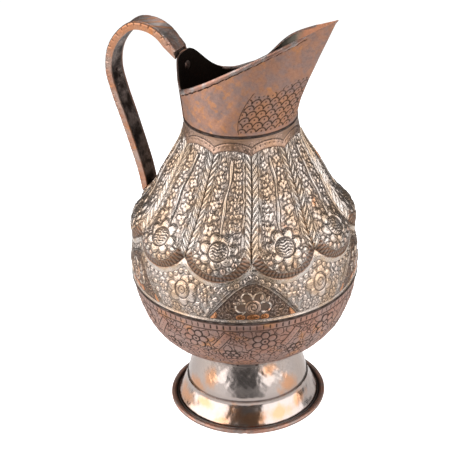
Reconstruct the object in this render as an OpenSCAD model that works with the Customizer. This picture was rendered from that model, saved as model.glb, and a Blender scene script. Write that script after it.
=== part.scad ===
// Tinned copper water jug, hand raised from sheet in soldered pieces.
// Millimetres. Origin on the jug's axis at the plane it stands on, +Z up,
// +X towards the spout, -X towards the handle.

/* [Body] */
// Height from the table to the tip of the spout
overall_h = 300; // [294:1:306]
// Radius of the widest part of the belly
belly_r = 79.5; // [78.5:0.5:80.5]
// Height of the soldered seam that joins the bowl to the shoulder
belly_seam_z = 106; // [104:1:108]
// Thickness of the copper sheet
sheet_t = 1.2; // [1:0.1:1.4]

/* [Foot] */
// Outer radius of the rolled rim that the jug stands on
foot_r = 56; // [55.5:0.5:57]
// Radius of the wire-filled roll itself
bead_r = 2; // [1.9:0.1:2.1]
// Radius of the step between the flange and the bell
step_r = 43; // [42.5:0.5:43.5]
// Height of that step
step_z = 18.4; // [18:0.1:19]
// Radius of the bell where it meets the bowl
bell_top_r = 34; // [33.5:0.5:34.5]
// Height of the bowl's flat underside
bowl_base_z = 51; // [50:0.5:51.5]

/* [Lobes] */
// Number of lobes hammered up round the shoulder
lobes = 10; // [8:1:12]
// How far a lobe stands out of the shoulder at its swollen end
lobe_swell = 4.2; // [3:0.1:4.5]
// Height of the middle of the swollen ends
lobe_z = 151; // [150:0.5:152]

/* [Neck and spout] */
// Outer radius of the neck at its narrowest
neck_r = 38.2; // [37.6:0.1:38.8]
// Height of the soldered seam at the foot of the neck
neck_seam_z = 222; // [221:0.5:223]
// How far the tip of the spout reaches from the axis
spout_reach = 72; // [68:1:76]
// Half width of the mouth
mouth_half_w = 36; // [35:0.5:37]
// Height of the tab at the back of the mouth that carries the handle
tab_z = 260; // [259:0.5:261]
// Height of the folded hem along the lip
hem_h = 3.2; // [2.8:0.1:3.6]
// How far the hem stands proud of the neck
hem_t = 0.8; // [0.6:0.1:1]

/* [Handle] */
// Width of the handle where it leaves the mouth
handle_top_w = 16; // [15:0.5:17]
// Width of the handle where it lands on the shoulder
handle_foot_w = 14; // [13:0.5:15]
// Depth of the hollow handle, outer face to inner face
handle_d = 5.5; // [5:0.1:6]
// Radius of the heads of the rivet through the tab
rivet_head_r = 3.4; // [3:0.1:3.6]

/* [Hidden] */

copper = [0.70, 0.44, 0.34];
tin = [0.66, 0.63, 0.60];
solder_grey = [0.40, 0.38, 0.36];
dark_tin = [0.30, 0.27, 0.25];

// ---- curves and outlines ----

// One point of a smooth curve through p1 and p2, with p0 and p3 before and after them
function curve_point(p0, p1, p2, p3, t) = 0.5 * (2 * p1 + (p2 - p0) * t
    + (2 * p0 - 5 * p1 + 4 * p2 - p3) * t * t + (3 * p1 - p0 - 3 * p2 + p3) * t * t * t);

// The smooth curve through a list of points, with `steps` pieces between neighbours
function smooth(pts, steps) = let (last = len(pts) - 1) concat(
    [for (i = [0 : last - 1], k = [0 : steps - 1]) curve_point(
        pts[max(i - 1, 0)], pts[i], pts[i + 1], pts[min(i + 2, last)], k / steps)],
    [pts[last]]);

function unit(v) = v / norm(v);
function backwards(pts) = [for (i = [len(pts) - 1 : -1 : 0]) pts[i]];

// The same line moved `t` to its left, which is the inner side of a profile drawn upwards
function left_of(pts, t) = let (last = len(pts) - 1) [for (i = [0 : last])
    let (d = unit(pts[min(i + 1, last)] - pts[max(i - 1, 0)])) pts[i] + t * [-d[1], d[0]]];

// Smooth step from 0 at a to 1 at b
function ramp(x, a, b) = let (u = min(1, max(0, (x - a) / (b - a)))) u * u * (3 - 2 * u);

// ---- foot ----

bead_centre_r = foot_r - bead_r;
bead_centre_z = bead_r - 0.25;
bead_inner_r = bead_centre_r - bead_r + 0.35;
groove_z = 1.2;

module foot_rim_bead() {
    color(copper) rotate_extrude($fn = 96) intersection() {
        translate([bead_centre_r, bead_centre_z]) circle(r = bead_r, $fn = 32);
        translate([bead_inner_r, 0]) square([2 * bead_r, 2 * bead_r]);
    }
}

flange_profile = smooth([[bead_inner_r - 1.1, groove_z + 0.6], [bead_inner_r - 1.9, 3.6],
    [bead_inner_r - 3.6, 7], [step_r + 3.2, 12], [step_r + 1.1, step_z - 2.2],
    [step_r + 0.9, step_z]], 4);

module foot_flange() {
    color(tin) rotate_extrude($fn = 96) polygon(concat(
        [[bead_inner_r, groove_z - 0.4], [bead_inner_r, groove_z + 0.8]],
        flange_profile,
        backwards(left_of(flange_profile, sheet_t)),
        [[bead_inner_r - 2.2, groove_z - 0.4]]));
}

bell_profile = concat(smooth([[step_r, step_z], [step_r - 0.5, 22.5], [step_r - 2.2, 29],
    [step_r - 4.6, 36], [bell_top_r + 2, 43], [bell_top_r + 1, 47]], 4),
    [[bell_top_r, bowl_base_z]]);

module foot_bell() {
    color(tin) rotate_extrude($fn = 96) polygon(concat(
        [[step_r + 0.9 - sheet_t, step_z], [step_r + 0.9, step_z], [step_r + 0.9, step_z + 0.7]],
        [for (i = [1 : len(bell_profile) - 1]) bell_profile[i]],
        [[bell_top_r - sheet_t, bowl_base_z]],
        backwards([for (i = [1 : len(bell_profile) - 2]) left_of(bell_profile, sheet_t)[i]])));
}

module foot_solder() {
    color(solder_grey) rotate_extrude($fn = 96) polygon([[bell_top_r, bowl_base_z],
        [bell_top_r + 1, 47], [bell_top_r + 1.7, 48.6], [bell_top_r + 3.4, bowl_base_z]]);
}

// ---- bowl and belly seam ----

seam_half = 0.6;
bowl_top_r = belly_r - 0.7;

bowl_profile = smooth([[40, bowl_base_z], [48, 53.6], [54, 57], [60, 61.6], [65.5, 67.7],
    [70, 75], [74, 84.2], [77, 95], [bowl_top_r, belly_seam_z - seam_half]], 3);

module bowl() {
    color(copper) rotate_extrude($fn = 96) polygon(concat([[0, bowl_base_z]], bowl_profile,
        backwards(left_of(bowl_profile, sheet_t)), [[0, bowl_base_z + sheet_t]]));
}

module belly_seam() {
    color(solder_grey) translate([0, 0, belly_seam_z - seam_half]) difference() {
        cylinder(h = 2 * seam_half, r = bowl_top_r + 0.35, $fn = 96);
        translate([0, 0, -1]) cylinder(h = 2 * seam_half + 2, r = bowl_top_r - sheet_t, $fn = 96);
    }
}

// ---- lobed shoulder ----

collar_z = 213;
shoulder_top_z = neck_seam_z - 0.5;

// Radius of the shoulder in the valleys between the lobes
valley_table = [[belly_seam_z + seam_half, bowl_top_r], [112, belly_r - 0.2], [119, belly_r],
    [127, belly_r - 0.9], [135, belly_r - 3], [142, 74.6], [lobe_z, 71.6], [158, 66.4], [165, 62],
    [172, 58.3], [181, 53.9], [192, 48.2], [204, 42.4], [collar_z, 39.6],
    [shoulder_top_z, neck_r + 0.1]];

// How far a lobe's ridge stands out of the valleys beside it
function ridge(z) = lobe_swell * (ramp(z, lobe_z - 13, lobe_z - 2)
    - 0.55 * ramp(z, lobe_z + 1, 168) - 0.45 * ramp(z, 180, collar_z));

// A lobe's rounded form across its width, 1 on the ridge and 0 in the valley
function across(angle) = let (c = cos(lobes * angle / 2)) pow(abs(c), 0.8);

function shoulder_r(angle, z) = lookup(z, valley_table) + ridge(z) * across(angle);

shoulder_rows = [belly_seam_z + seam_half, 112, 119, 127, 135, 139, 143, 147, lobe_z, 155,
    159, 165, 172, 181, 192, 204, collar_z, shoulder_top_z];
shoulder_cols = 8 * lobes;

// A closed shell between an outer and an inner grid of points, each a list of closed rings
module ring_shell(outer, inner) {
    cols = len(outer[0]);
    rows = len(outer);
    inner_rows = len(inner);
    first_inner = rows * cols;
    last_inner = first_inner + (inner_rows - 1) * cols;
    function next(c) = (c + 1) % cols;
    polyhedron(
        points = concat([for (ring = outer) each ring], [for (ring = inner) each ring]),
        faces = concat(
            [for (r = [0 : rows - 2], c = [0 : cols - 1], half = [0, 1]) half == 0
                ? [r * cols + c, (r + 1) * cols + c, r * cols + next(c)]
                : [(r + 1) * cols + c, (r + 1) * cols + next(c), r * cols + next(c)]],
            [for (r = [0 : inner_rows - 2], c = [0 : cols - 1], half = [0, 1]) half == 0
                ? [first_inner + r * cols + c, first_inner + r * cols + next(c),
                    first_inner + (r + 1) * cols + c]
                : [first_inner + (r + 1) * cols + c, first_inner + r * cols + next(c),
                    first_inner + (r + 1) * cols + next(c)]],
            [for (c = [0 : cols - 1], half = [0, 1]) half == 0
                ? [c, next(c), first_inner + c]
                : [next(c), first_inner + next(c), first_inner + c]],
            [for (c = [0 : cols - 1], half = [0, 1]) half == 0
                ? [(rows - 1) * cols + c, last_inner + c, (rows - 1) * cols + next(c)]
                : [(rows - 1) * cols + next(c), last_inner + c, last_inner + next(c)]]));
}

module shoulder() {
    function at(z, inset) = [for (c = [0 : shoulder_cols - 1])
        let (a = c * 360 / shoulder_cols, r = shoulder_r(a, z) - inset) [r * cos(a), r * sin(a), z]];
    // the sheet is slanted, so its thickness measured level is more than along its normal
    function level_t(i) = let (last = len(shoulder_rows) - 1,
        z0 = shoulder_rows[max(i - 1, 0)], z1 = shoulder_rows[min(i + 1, last)],
        slope = (lookup(z1, valley_table) - lookup(z0, valley_table)) / (z1 - z0))
        i == 0 || i == last ? sheet_t : sheet_t * sqrt(1 + slope * slope);
    color(tin) ring_shell(
        [for (z = shoulder_rows) at(z, 0)],
        [for (i = [0 : len(shoulder_rows) - 1]) at(shoulder_rows[i], level_t(i))]);
}

module neck_seam() {
    color(solder_grey) translate([0, 0, shoulder_top_z]) difference() {
        cylinder(h = 1, r = neck_r + 0.4, $fn = 96);
        translate([0, 0, -1]) cylinder(h = 3, r = neck_r - sheet_t, $fn = 96);
    }
}

// ---- neck and spout ----

neck_base_z = neck_seam_z + 0.5;
mouth_mid_x = -3;
mouth_back_x = -42.5;
lip_at_axis_z = 260.5;
lip_slope = (overall_h - lip_at_axis_z) / spout_reach;
low_side_dip = 11;
hollow_by_tab = 3.7;
// angles between which the lip climbs to the tab, on the -Y side and on the +Y side
near_climb = [133, 159];
far_climb = [128, 172];
neck_cols = 72;

// Outline of the mouth from above: a round back and a pointed front
function mouth_x(a) = let (m = abs(a)) m < 90
    ? mouth_mid_x + (spout_reach - mouth_mid_x) * (1 - m / 90)
    : mouth_mid_x + (mouth_back_x - mouth_mid_x) * sin(m - 90);
function mouth_y(a) = let (m = abs(a), side = sign(a)) m < 90
    ? side * mouth_half_w * (1 - pow(1 - m / 90, 1.6))
    : side * mouth_half_w * sin(m);

// Height of the lip: it climbs to the spout and rises again to the tab at the handle.
// The jug is hammered by hand: on the +Y side the lip hangs lower and its climb is gentler.
function lip_z(a) = let (m = abs(a), x = mouth_x(a), far = a > 0,
    swept = lip_at_axis_z + lip_slope * x,
    sag = far ? low_side_dip * exp(-pow((x + 4) / 19, 2))
        + hollow_by_tab * exp(-pow((x + 22) / 9, 2)) : 0,
    climb = far ? far_climb : near_climb,
    rise = ramp(m, climb[0], climb[1]))
    (swept - sag) * (1 - rise) + tab_z * rise;

// A point of the neck's outer face: angle a, and v from 0 at the seam to 1 at the lip
function neck_point(a, v) = let (open = pow(v, 1.12), z = neck_base_z + (lip_z(a) - neck_base_z) * v)
    [neck_r * cos(a) * (1 - open) + mouth_x(a) * open,
     neck_r * sin(a) * (1 - open) + mouth_y(a) * open, z];

function neck_angle(c) = let (a = c * 360 / neck_cols) a > 180 ? a - 360 : a;
function neck_normal(a, v) = unit(cross(
    neck_point(a + 2.4, v) - neck_point(a - 2.4, v),
    neck_point(a, min(v + 0.03, 1)) - neck_point(a, max(v - 0.03, 0))));
// the lip's height at this angle, so that the hem keeps the same width all round
function hem_v(a) = 1 - hem_h / (lip_z(a) - neck_base_z);

// The upper rows are spaced between the seam and the hem's lower edge
neck_steps = 8;
function neck_row_v(a, i) = i > neck_steps ? 1 : hem_v(a) * i / neck_steps;

module neck() {
    function inward(a, v) = neck_point(a, v) - sheet_t
        * (v == 0 ? [cos(a), sin(a), 0] : neck_normal(a == 180 ? -180 : a, v));
    color(copper) ring_shell(
        [for (i = [0 : neck_steps + 1]) [for (c = [0 : neck_cols - 1])
            let (a = neck_angle(c)) neck_point(a, neck_row_v(a, i))]],
        [for (i = [0 : neck_steps + 1]) [for (c = [0 : neck_cols - 1])
            let (a = neck_angle(c)) inward(a, neck_row_v(a, i))]]);
}

// A patch of sheet `t` thick lying on the neck over the given columns and rows
module neck_patch(columns, rows, t) {
    function outer_at(c, i) = let (a = neck_angle(c), v = neck_row_v(a, i))
        neck_point(a, v) + t * neck_normal(a, v);
    function on_neck(c, i) = let (a = neck_angle(c)) neck_point(a, neck_row_v(a, i));
    patch_solid([for (c = columns) [for (i = rows) outer_at(c, i)]],
        [for (c = columns) [for (i = rows) on_neck(c, i)]]);
}

// A closed solid between two matching open grids of points, each a list of columns
module patch_solid(outer, inner) {
    rows = len(outer[0]);
    swept_solid([for (c = [0 : len(outer) - 1]) concat(outer[c], backwards(inner[c]))],
        [for (k = [0 : rows - 2], half = [0, 1]) half == 0
            ? [k, k + 1, 2 * rows - 1 - k] : [k + 1, 2 * rows - 2 - k, 2 * rows - 1 - k]]);
}

// A closed solid through a list of matching outlines, capped at both ends by the faces in
// `cap`, which number the points of the first outline. A flat outline is one face.
module swept_solid(outlines, cap = []) {
    n = len(outlines[0]);
    last = (len(outlines) - 1) * n;
    first_cap = len(cap) > 0 ? cap : [[for (k = [0 : n - 1]) k]];
    polyhedron(
        points = [for (outline = outlines) each outline],
        faces = concat(
            first_cap,
            [for (s = [0 : len(outlines) - 2], k = [0 : n - 1], half = [0, 1])
                let (p = s * n + k, q = s * n + (k + 1) % n) half == 0
                ? [p, p + n, q] : [q, p + n, q + n]],
            [for (face = first_cap) [for (k = backwards(face)) last + k]]));
}

// The lap where the two ends of the neck's sheet meet, on the -Y side towards the handle
module neck_lap_strip() {
    color(copper) neck_patch([42, 43], [for (i = [0 : neck_steps]) i], 0.5);
}

// The hem is folded outwards along each side of the lip and stops short of the tip
module lip_hem() {
    color(tin) {
        neck_patch([for (c = [4 : 31]) c], [neck_steps, neck_steps + 1], hem_t);
        neck_patch([for (c = [41 : 68]) c], [neck_steps, neck_steps + 1], hem_t);
    }
}

// ---- handle ----

// The outer face of the handle from the shoulder up, over and down to the tab
handle_line = smooth([[-77.6, 149.6], [-80.8, 166], [-86, 184], [-92, 203], [-98, 221],
    [-101.8, 238], [-99.4, 254], [-91.5, 267], [-79.5, 276.6], [-66, 277.6], [-54.5, 272.6],
    [-44.8, 261.8]], 3);
handle_wall = 1.2;

// Slant of the end faces, so that they lie against the shoulder and the tab
foot_cut = [0.78, 0.98];
tab_cut = [0.12, -1];

function handle_inward(i) = let (last = len(handle_line) - 1,
    d = unit(handle_line[min(i + 1, last)] - handle_line[max(i - 1, 0)]))
    i == 0 ? foot_cut : i == last ? tab_cut : [d[1], -d[0]];
function handle_w(i) = handle_foot_w
    + (handle_top_w - handle_foot_w) * i / (len(handle_line) - 1);

// The point of cross-section i that is `side` half widths off centre and `depth` below the
// outer face, with `in` taken off its distance from the centre
function handle_point(i, side, in, depth) = let (p = handle_line[i] + depth * handle_inward(i))
    [p[0], side * (handle_w(i) / 2 - in), p[1]];

module handle_channel() {
    color(copper) swept_solid([for (i = [0 : len(handle_line) - 1]) [
        handle_point(i, -1, 0.8, 0), handle_point(i, 1, 0.8, 0),
        handle_point(i, 1, 0, 0.8), handle_point(i, 1, 0, handle_d),
        handle_point(i, 1, handle_wall, handle_d), handle_point(i, 1, handle_wall, handle_wall),
        handle_point(i, -1, handle_wall, handle_wall), handle_point(i, -1, handle_wall, handle_d),
        handle_point(i, -1, 0, handle_d), handle_point(i, -1, 0, 0.8)]]);
}

module handle_strip() {
    color(dark_tin) swept_solid([for (i = [0 : len(handle_line) - 1]) [
        handle_point(i, -1, handle_wall, handle_d - handle_wall),
        handle_point(i, 1, handle_wall, handle_d - handle_wall),
        handle_point(i, 1, handle_wall, handle_d), handle_point(i, -1, handle_wall, handle_d)]]);
}

// A tongue of sheet down the outside of the tab, under the end of the handle
tongue_t = 1.2;

module handle_tongue() {
    color(copper) neck_patch([35, 36, 37], [4, 5, 6, 7, 8, 9], tongue_t);
}

rivet_z = 250;
rivet_shank_r = 1.6;
rivet_head_h = 1.3;

// Where the back wall's outer face stands at the rivet's height
back_v = (rivet_z - neck_base_z) / (tab_z - neck_base_z);
back_x = neck_point(180, back_v)[0];

module handle_top_rivet() {
    inside_x = back_x + sheet_t;
    outside_x = back_x - tongue_t;
    module head(x, turn) {
        translate([x, 0, rivet_z]) rotate([0, turn, 0])
            cylinder(h = rivet_head_h, r1 = rivet_head_r, r2 = 0.55 * rivet_head_r, $fn = 32);
    }
    color(copper) union() {
        translate([outside_x, 0, rivet_z]) rotate([0, 90, 0])
            cylinder(h = inside_x - outside_x, r = rivet_shank_r, $fn = 32);
        head(inside_x, 90);
        head(outside_x, -90);
    }
}

// Rows of the pad of solder that holds the handle's lower end on the shoulder: each a height
// and how far the pad's outer face stands off the ridge of the lobe behind the handle
pad_rows = [[145.5, 0.5], [147.5, 1.2], [149.6, handle_gap(149.6)], [152.3, handle_gap(152.3)],
    [155, handle_gap(155)], [157, 0.5]];
pad_half_angle = 6.5;
pad_columns = 4;

// Room between the slanted end of the handle and the ridge it lands on
function handle_gap(z) = -handle_line[0][0] - (z - handle_line[0][1]) * foot_cut[0] / foot_cut[1]
    - shoulder_r(180, z);

module handle_foot_solder() {
    angles = [for (c = [-pad_columns : pad_columns]) 180 + c * pad_half_angle / pad_columns];
    ridge_gap = 0.05;
    function on_shoulder(a, z, out) = (shoulder_r(a, z) + out) * [cos(a), sin(a), 0] + [0, 0, z];
    function beneath_handle(a, row) = let (reach = shoulder_r(180, row[0]) + row[1])
        [-reach, reach * sin(a), row[0]];
    color(solder_grey) patch_solid(
        [for (a = angles) [for (row = pad_rows) beneath_handle(a, row)]],
        [for (a = angles) [for (row = pad_rows) on_shoulder(a, row[0], ridge_gap)]]);
}

foot_rim_bead();
foot_flange();
foot_bell();
foot_solder();
bowl();
belly_seam();
shoulder();
neck_seam();
neck();
neck_lap_strip();
lip_hem();
handle_channel();
handle_strip();
handle_tongue();
handle_top_rivet();
handle_foot_solder();
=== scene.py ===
"""A chased and tinned copper water jug: the looks of its pieces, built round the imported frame."""

import math

import bpy
import numpy as np
from mathutils import Matrix, Vector


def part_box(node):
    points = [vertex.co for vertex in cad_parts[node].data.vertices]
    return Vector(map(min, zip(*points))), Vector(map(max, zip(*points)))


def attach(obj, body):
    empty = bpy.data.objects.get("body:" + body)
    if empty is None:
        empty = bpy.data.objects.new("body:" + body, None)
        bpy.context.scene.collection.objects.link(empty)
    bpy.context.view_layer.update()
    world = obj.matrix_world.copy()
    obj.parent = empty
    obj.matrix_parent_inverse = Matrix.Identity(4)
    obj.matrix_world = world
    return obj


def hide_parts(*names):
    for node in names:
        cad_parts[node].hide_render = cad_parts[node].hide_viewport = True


bl_info = {
    "name": "Chased Copper Jug",
    "version": (1, 0, 0),
    "blender": (4, 5, 0),
    "location": "View3D > Sidebar > Jug",
    "description": "Builds the visible pieces of a chased and tinned copper water jug",
    "category": "Add Mesh",
}

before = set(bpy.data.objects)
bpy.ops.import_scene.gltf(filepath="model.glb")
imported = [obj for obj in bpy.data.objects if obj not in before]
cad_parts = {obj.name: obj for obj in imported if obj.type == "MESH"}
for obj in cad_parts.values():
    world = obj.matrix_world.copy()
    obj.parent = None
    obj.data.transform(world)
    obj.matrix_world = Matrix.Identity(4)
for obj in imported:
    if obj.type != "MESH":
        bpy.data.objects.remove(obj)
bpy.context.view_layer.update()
MM = 0.001
MARKS = "chase"


def top_of(node):
    """Highest point of a CAD node, in millimetres."""
    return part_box(node)[1].z / MM


def bottom_of(node):
    """Lowest point of a CAD node, in millimetres."""
    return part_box(node)[0].z / MM


BELLY_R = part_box("shoulder")[1].y / MM
SEAM_LOW, SEAM_HIGH = bottom_of("belly_seam"), top_of("belly_seam")
COLLAR_TOP = top_of("shoulder")
NECK_BASE = bottom_of("neck")
NECK_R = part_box("neck_seam")[1].y / MM - 0.4
BOWL_BASE = bottom_of("bowl")
BOWL_TOP_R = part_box("bowl")[1].y / MM
FOOT_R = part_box("foot_rim_bead")[1].y / MM
SPOUT_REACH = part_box("neck")[1].x / MM
SPOUT_TOP = top_of("neck")
SHEET = 1.2
LOBES = 10
LOBE_TURN = 360 / LOBES
ARCHES = 5
ARCH_TURN = 360 / ARCHES
FIRST_ARCH = 18.0


# ---- sizes and colours that a user may change ----


class JugSizes(bpy.types.PropertyGroup):
    lobe_swell: bpy.props.FloatProperty(
        name="Lobe swell", description="How far a lobe stands out of the shoulder",
        default=4.4 * MM, min=2 * MM, max=5 * MM, unit="LENGTH", precision=4)
    relief: bpy.props.FloatProperty(
        name="Relief", description="Depth of the hammered ground below the raised ornament",
        default=1.05 * MM, min=0.2 * MM, max=1.4 * MM, unit="LENGTH", precision=5)
    engraving: bpy.props.FloatProperty(
        name="Engraving", description="Depth of the lines cut in the bowl and the neck",
        default=0.3 * MM, min=0.1 * MM, max=0.6 * MM, unit="LENGTH", precision=5)
    hammering: bpy.props.FloatProperty(
        name="Hammering", description="Depth of the planishing marks on the plain sheet",
        default=0.16 * MM, min=0.0, max=0.5 * MM, unit="LENGTH", precision=5)
    notch_pitch: bpy.props.FloatProperty(
        name="Notch pitch", description="Distance between the notches along the handle's edge",
        default=6.2 * MM, min=3 * MM, max=12 * MM, unit="LENGTH", precision=4)
    floor_width: bpy.props.FloatProperty(
        name="Floor width", description="Width of the pale floor",
        default=9.0, min=2.0, max=20.0, unit="LENGTH")


class JugFinish(bpy.types.PropertyGroup):
    tin: bpy.props.FloatVectorProperty(
        name="Tin", description="Rubbed tin on the high places", subtype="COLOR", size=3,
        default=(0.60, 0.53, 0.48), min=0, max=1)
    silver: bpy.props.FloatVectorProperty(
        name="Bright tin", description="Polished tin on the foot", subtype="COLOR", size=3,
        default=(0.45, 0.375, 0.335), min=0, max=1)
    copper: bpy.props.FloatVectorProperty(
        name="Copper", description="Bare copper where the tin has worn through", subtype="COLOR",
        size=3, default=(0.58, 0.24, 0.10), min=0, max=1)
    rose: bpy.props.FloatVectorProperty(
        name="Rose copper", description="Dull copper of the bowl, the rim and the handle",
        subtype="COLOR", size=3, default=(0.43, 0.235, 0.175), min=0, max=1)
    mauve: bpy.props.FloatVectorProperty(
        name="Grey tin", description="Dull tin that is left over the copper", subtype="COLOR",
        size=3, default=(0.30, 0.235, 0.21), min=0, max=1)
    ash: bpy.props.FloatVectorProperty(
        name="Ash tin", description="Lighter grey tin of the foot, the handle and the hem",
        subtype="COLOR", size=3, default=(0.43, 0.37, 0.345), min=0, max=1)
    plum: bpy.props.FloatVectorProperty(
        name="Plum tin", description="Thin purplish tin on the neck", subtype="COLOR",
        size=3, default=(0.37, 0.25, 0.215), min=0, max=1)
    amber: bpy.props.FloatVectorProperty(
        name="Amber copper", description="Lighter bare copper of the foot, the bowl and the neck",
        subtype="COLOR", size=3, default=(0.60, 0.29, 0.14), min=0, max=1)
    blush: bpy.props.FloatVectorProperty(
        name="Blush copper", description="Lighter dull copper of the neck", subtype="COLOR",
        size=3, default=(0.46, 0.25, 0.17), min=0, max=1)
    brown_tin: bpy.props.FloatVectorProperty(
        name="Brown tin", description="Thin brownish tin on the bowl", subtype="COLOR", size=3,
        default=(0.41, 0.275, 0.235), min=0, max=1)
    gold: bpy.props.FloatVectorProperty(
        name="Yellow tin", description="Tin yellowed by the copper under it", subtype="COLOR",
        size=3, default=(0.58, 0.43, 0.31), min=0, max=1)
    # The grime colour is old polish and dirt in the cuts, and also the colour of the painted shade on the
    # shoulder's sunk ground, in the foot's groove and under the bowl.
    grime_and_shade: bpy.props.FloatVectorProperty(
        name="Grime And Shade", description="Old polish and dirt in the cuts", subtype="COLOR", size=3,
        default=(0.035, 0.022, 0.017), min=0, max=1)
    floor: bpy.props.FloatVectorProperty(
        name="Floor", description="Pale floor", subtype="COLOR", size=3,
        default=(0.95, 0.95, 0.95), min=0, max=1)


def sizes():
    """The sizes in the scene, in millimetres."""
    chosen = bpy.context.scene.jug_sizes
    return {key: getattr(chosen, key) / MM for key in JugSizes.__annotations__}


def colour(name):
    return (*getattr(bpy.context.scene.jug_finish, name), 1.0)


# ---- curves and forms in the plane, in millimetres ----


def smooth_line(points, count):
    """A smooth line through the points, as `count` points an even distance apart."""
    pts = np.array(points, float)
    before = np.vstack([pts[0], pts[:-2]]) if len(pts) > 2 else pts[:1]
    after = np.vstack([pts[2:], pts[-1]]) if len(pts) > 2 else pts[1:]
    t = np.linspace(0, 1, 33)[:-1, None]
    dense = [pts[-1:]]
    for p0, p1, p2, p3 in reversed(list(zip(before, pts[:-1], pts[1:], after))):
        dense.insert(0, 0.5 * (2 * p1 + (p2 - p0) * t + (2 * p0 - 5 * p1 + 4 * p2 - p3) * t**2
                               + (3 * p1 - p0 - 3 * p2 + p3) * t**3))
    dense = np.vstack(dense)
    run = np.concatenate([[0], np.cumsum(np.linalg.norm(np.diff(dense, axis=0), axis=1))])
    even = np.linspace(0, run[-1], count)
    return np.stack([np.interp(even, run, dense[:, k]) for k in range(dense.shape[1])], 1)


def lengths_along(points):
    return np.concatenate([[0], np.cumsum(np.linalg.norm(np.diff(points, axis=0), axis=1))])


def outward(points):
    """The unit normals of a profile drawn upwards, on its outer side."""
    along = np.gradient(points, axis=0)
    along /= np.linalg.norm(along, axis=1)[:, None]
    return np.stack([along[:, 1], -along[:, 0]], 1)


def ramp(x, low, high):
    u = np.clip((x - low) / (high - low), 0, 1)
    return u * u * (3 - 2 * u)


def disc(x, y, radius):
    """How far inside a disc a point lies; negative outside, as for every form below."""
    return radius - np.hypot(x, y)


def oval(x, y, half_wide, half_high):
    return (1 - np.hypot(x / half_wide, y / half_high)) * min(half_wide, half_high)


def petals(x, y, count, ring, radius, turn=0.0):
    step = 2 * math.pi / count
    angle = np.arctan2(y, x) - turn
    folded = angle - np.round(angle / step) * step
    reach = np.hypot(x, y)
    return radius - np.hypot((reach * np.cos(folded) - ring) * 0.85, reach * np.sin(folded))


def leaf(x, y, length, width, lean):
    along = (x * np.cos(lean) + y * np.sin(lean)) / length
    off = np.abs(y * np.cos(lean) - x * np.sin(lean))
    half = 0.5 * width * np.sin(np.pi * np.clip(along, 0, 1) ** 0.7)
    past = np.maximum(-along, along - 1) * length
    return np.where(past > 0, -np.hypot(past, off), half - off)


def spiral_away(x, y, pitch, turns):
    """Distance from a spiral line."""
    reach = np.hypot(x, y) / pitch
    away = np.abs((reach - np.arctan2(y, x) / (2 * np.pi) + 0.5) % 1 - 0.5) * pitch
    return np.where(reach < turns, away, 9.0)


def repeat_away(x, pitch):
    """Distance from the nearest of a row of lines."""
    return np.abs((x / pitch + 0.5) % 1 - 0.5) * pitch


def scatter(i, j, salt):
    """A number from 0 to 1 that belongs to cell (i, j)."""
    return (np.sin(i * 12.9898 + j * 78.233 + salt * 37.719) * 43758.5453) % 1


def foliage(x, y, cell, salt):
    """Small leaves, one to a cell, each with its own place and lean."""
    j = np.floor(y / cell)
    shifted = x + 0.5 * cell * (j % 2)
    i = np.floor(shifted / cell)
    lean = 2 * np.pi * scatter(i, j, salt)
    cx = (i + 0.5 + 0.22 * (scatter(i, j, salt + 1) - 0.5)) * cell
    cy = (j + 0.5 + 0.22 * (scatter(i, j, salt + 2) - 0.5)) * cell
    length = cell * (0.95 + 0.25 * scatter(i, j, salt + 3))
    fx = shifted - cx + 0.5 * length * np.cos(lean)
    fy = y - cy + 0.5 * length * np.sin(lean)
    return leaf(fx, fy, length, 0.8 * cell, lean)


# ---- the worked face of a sheet ----


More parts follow.
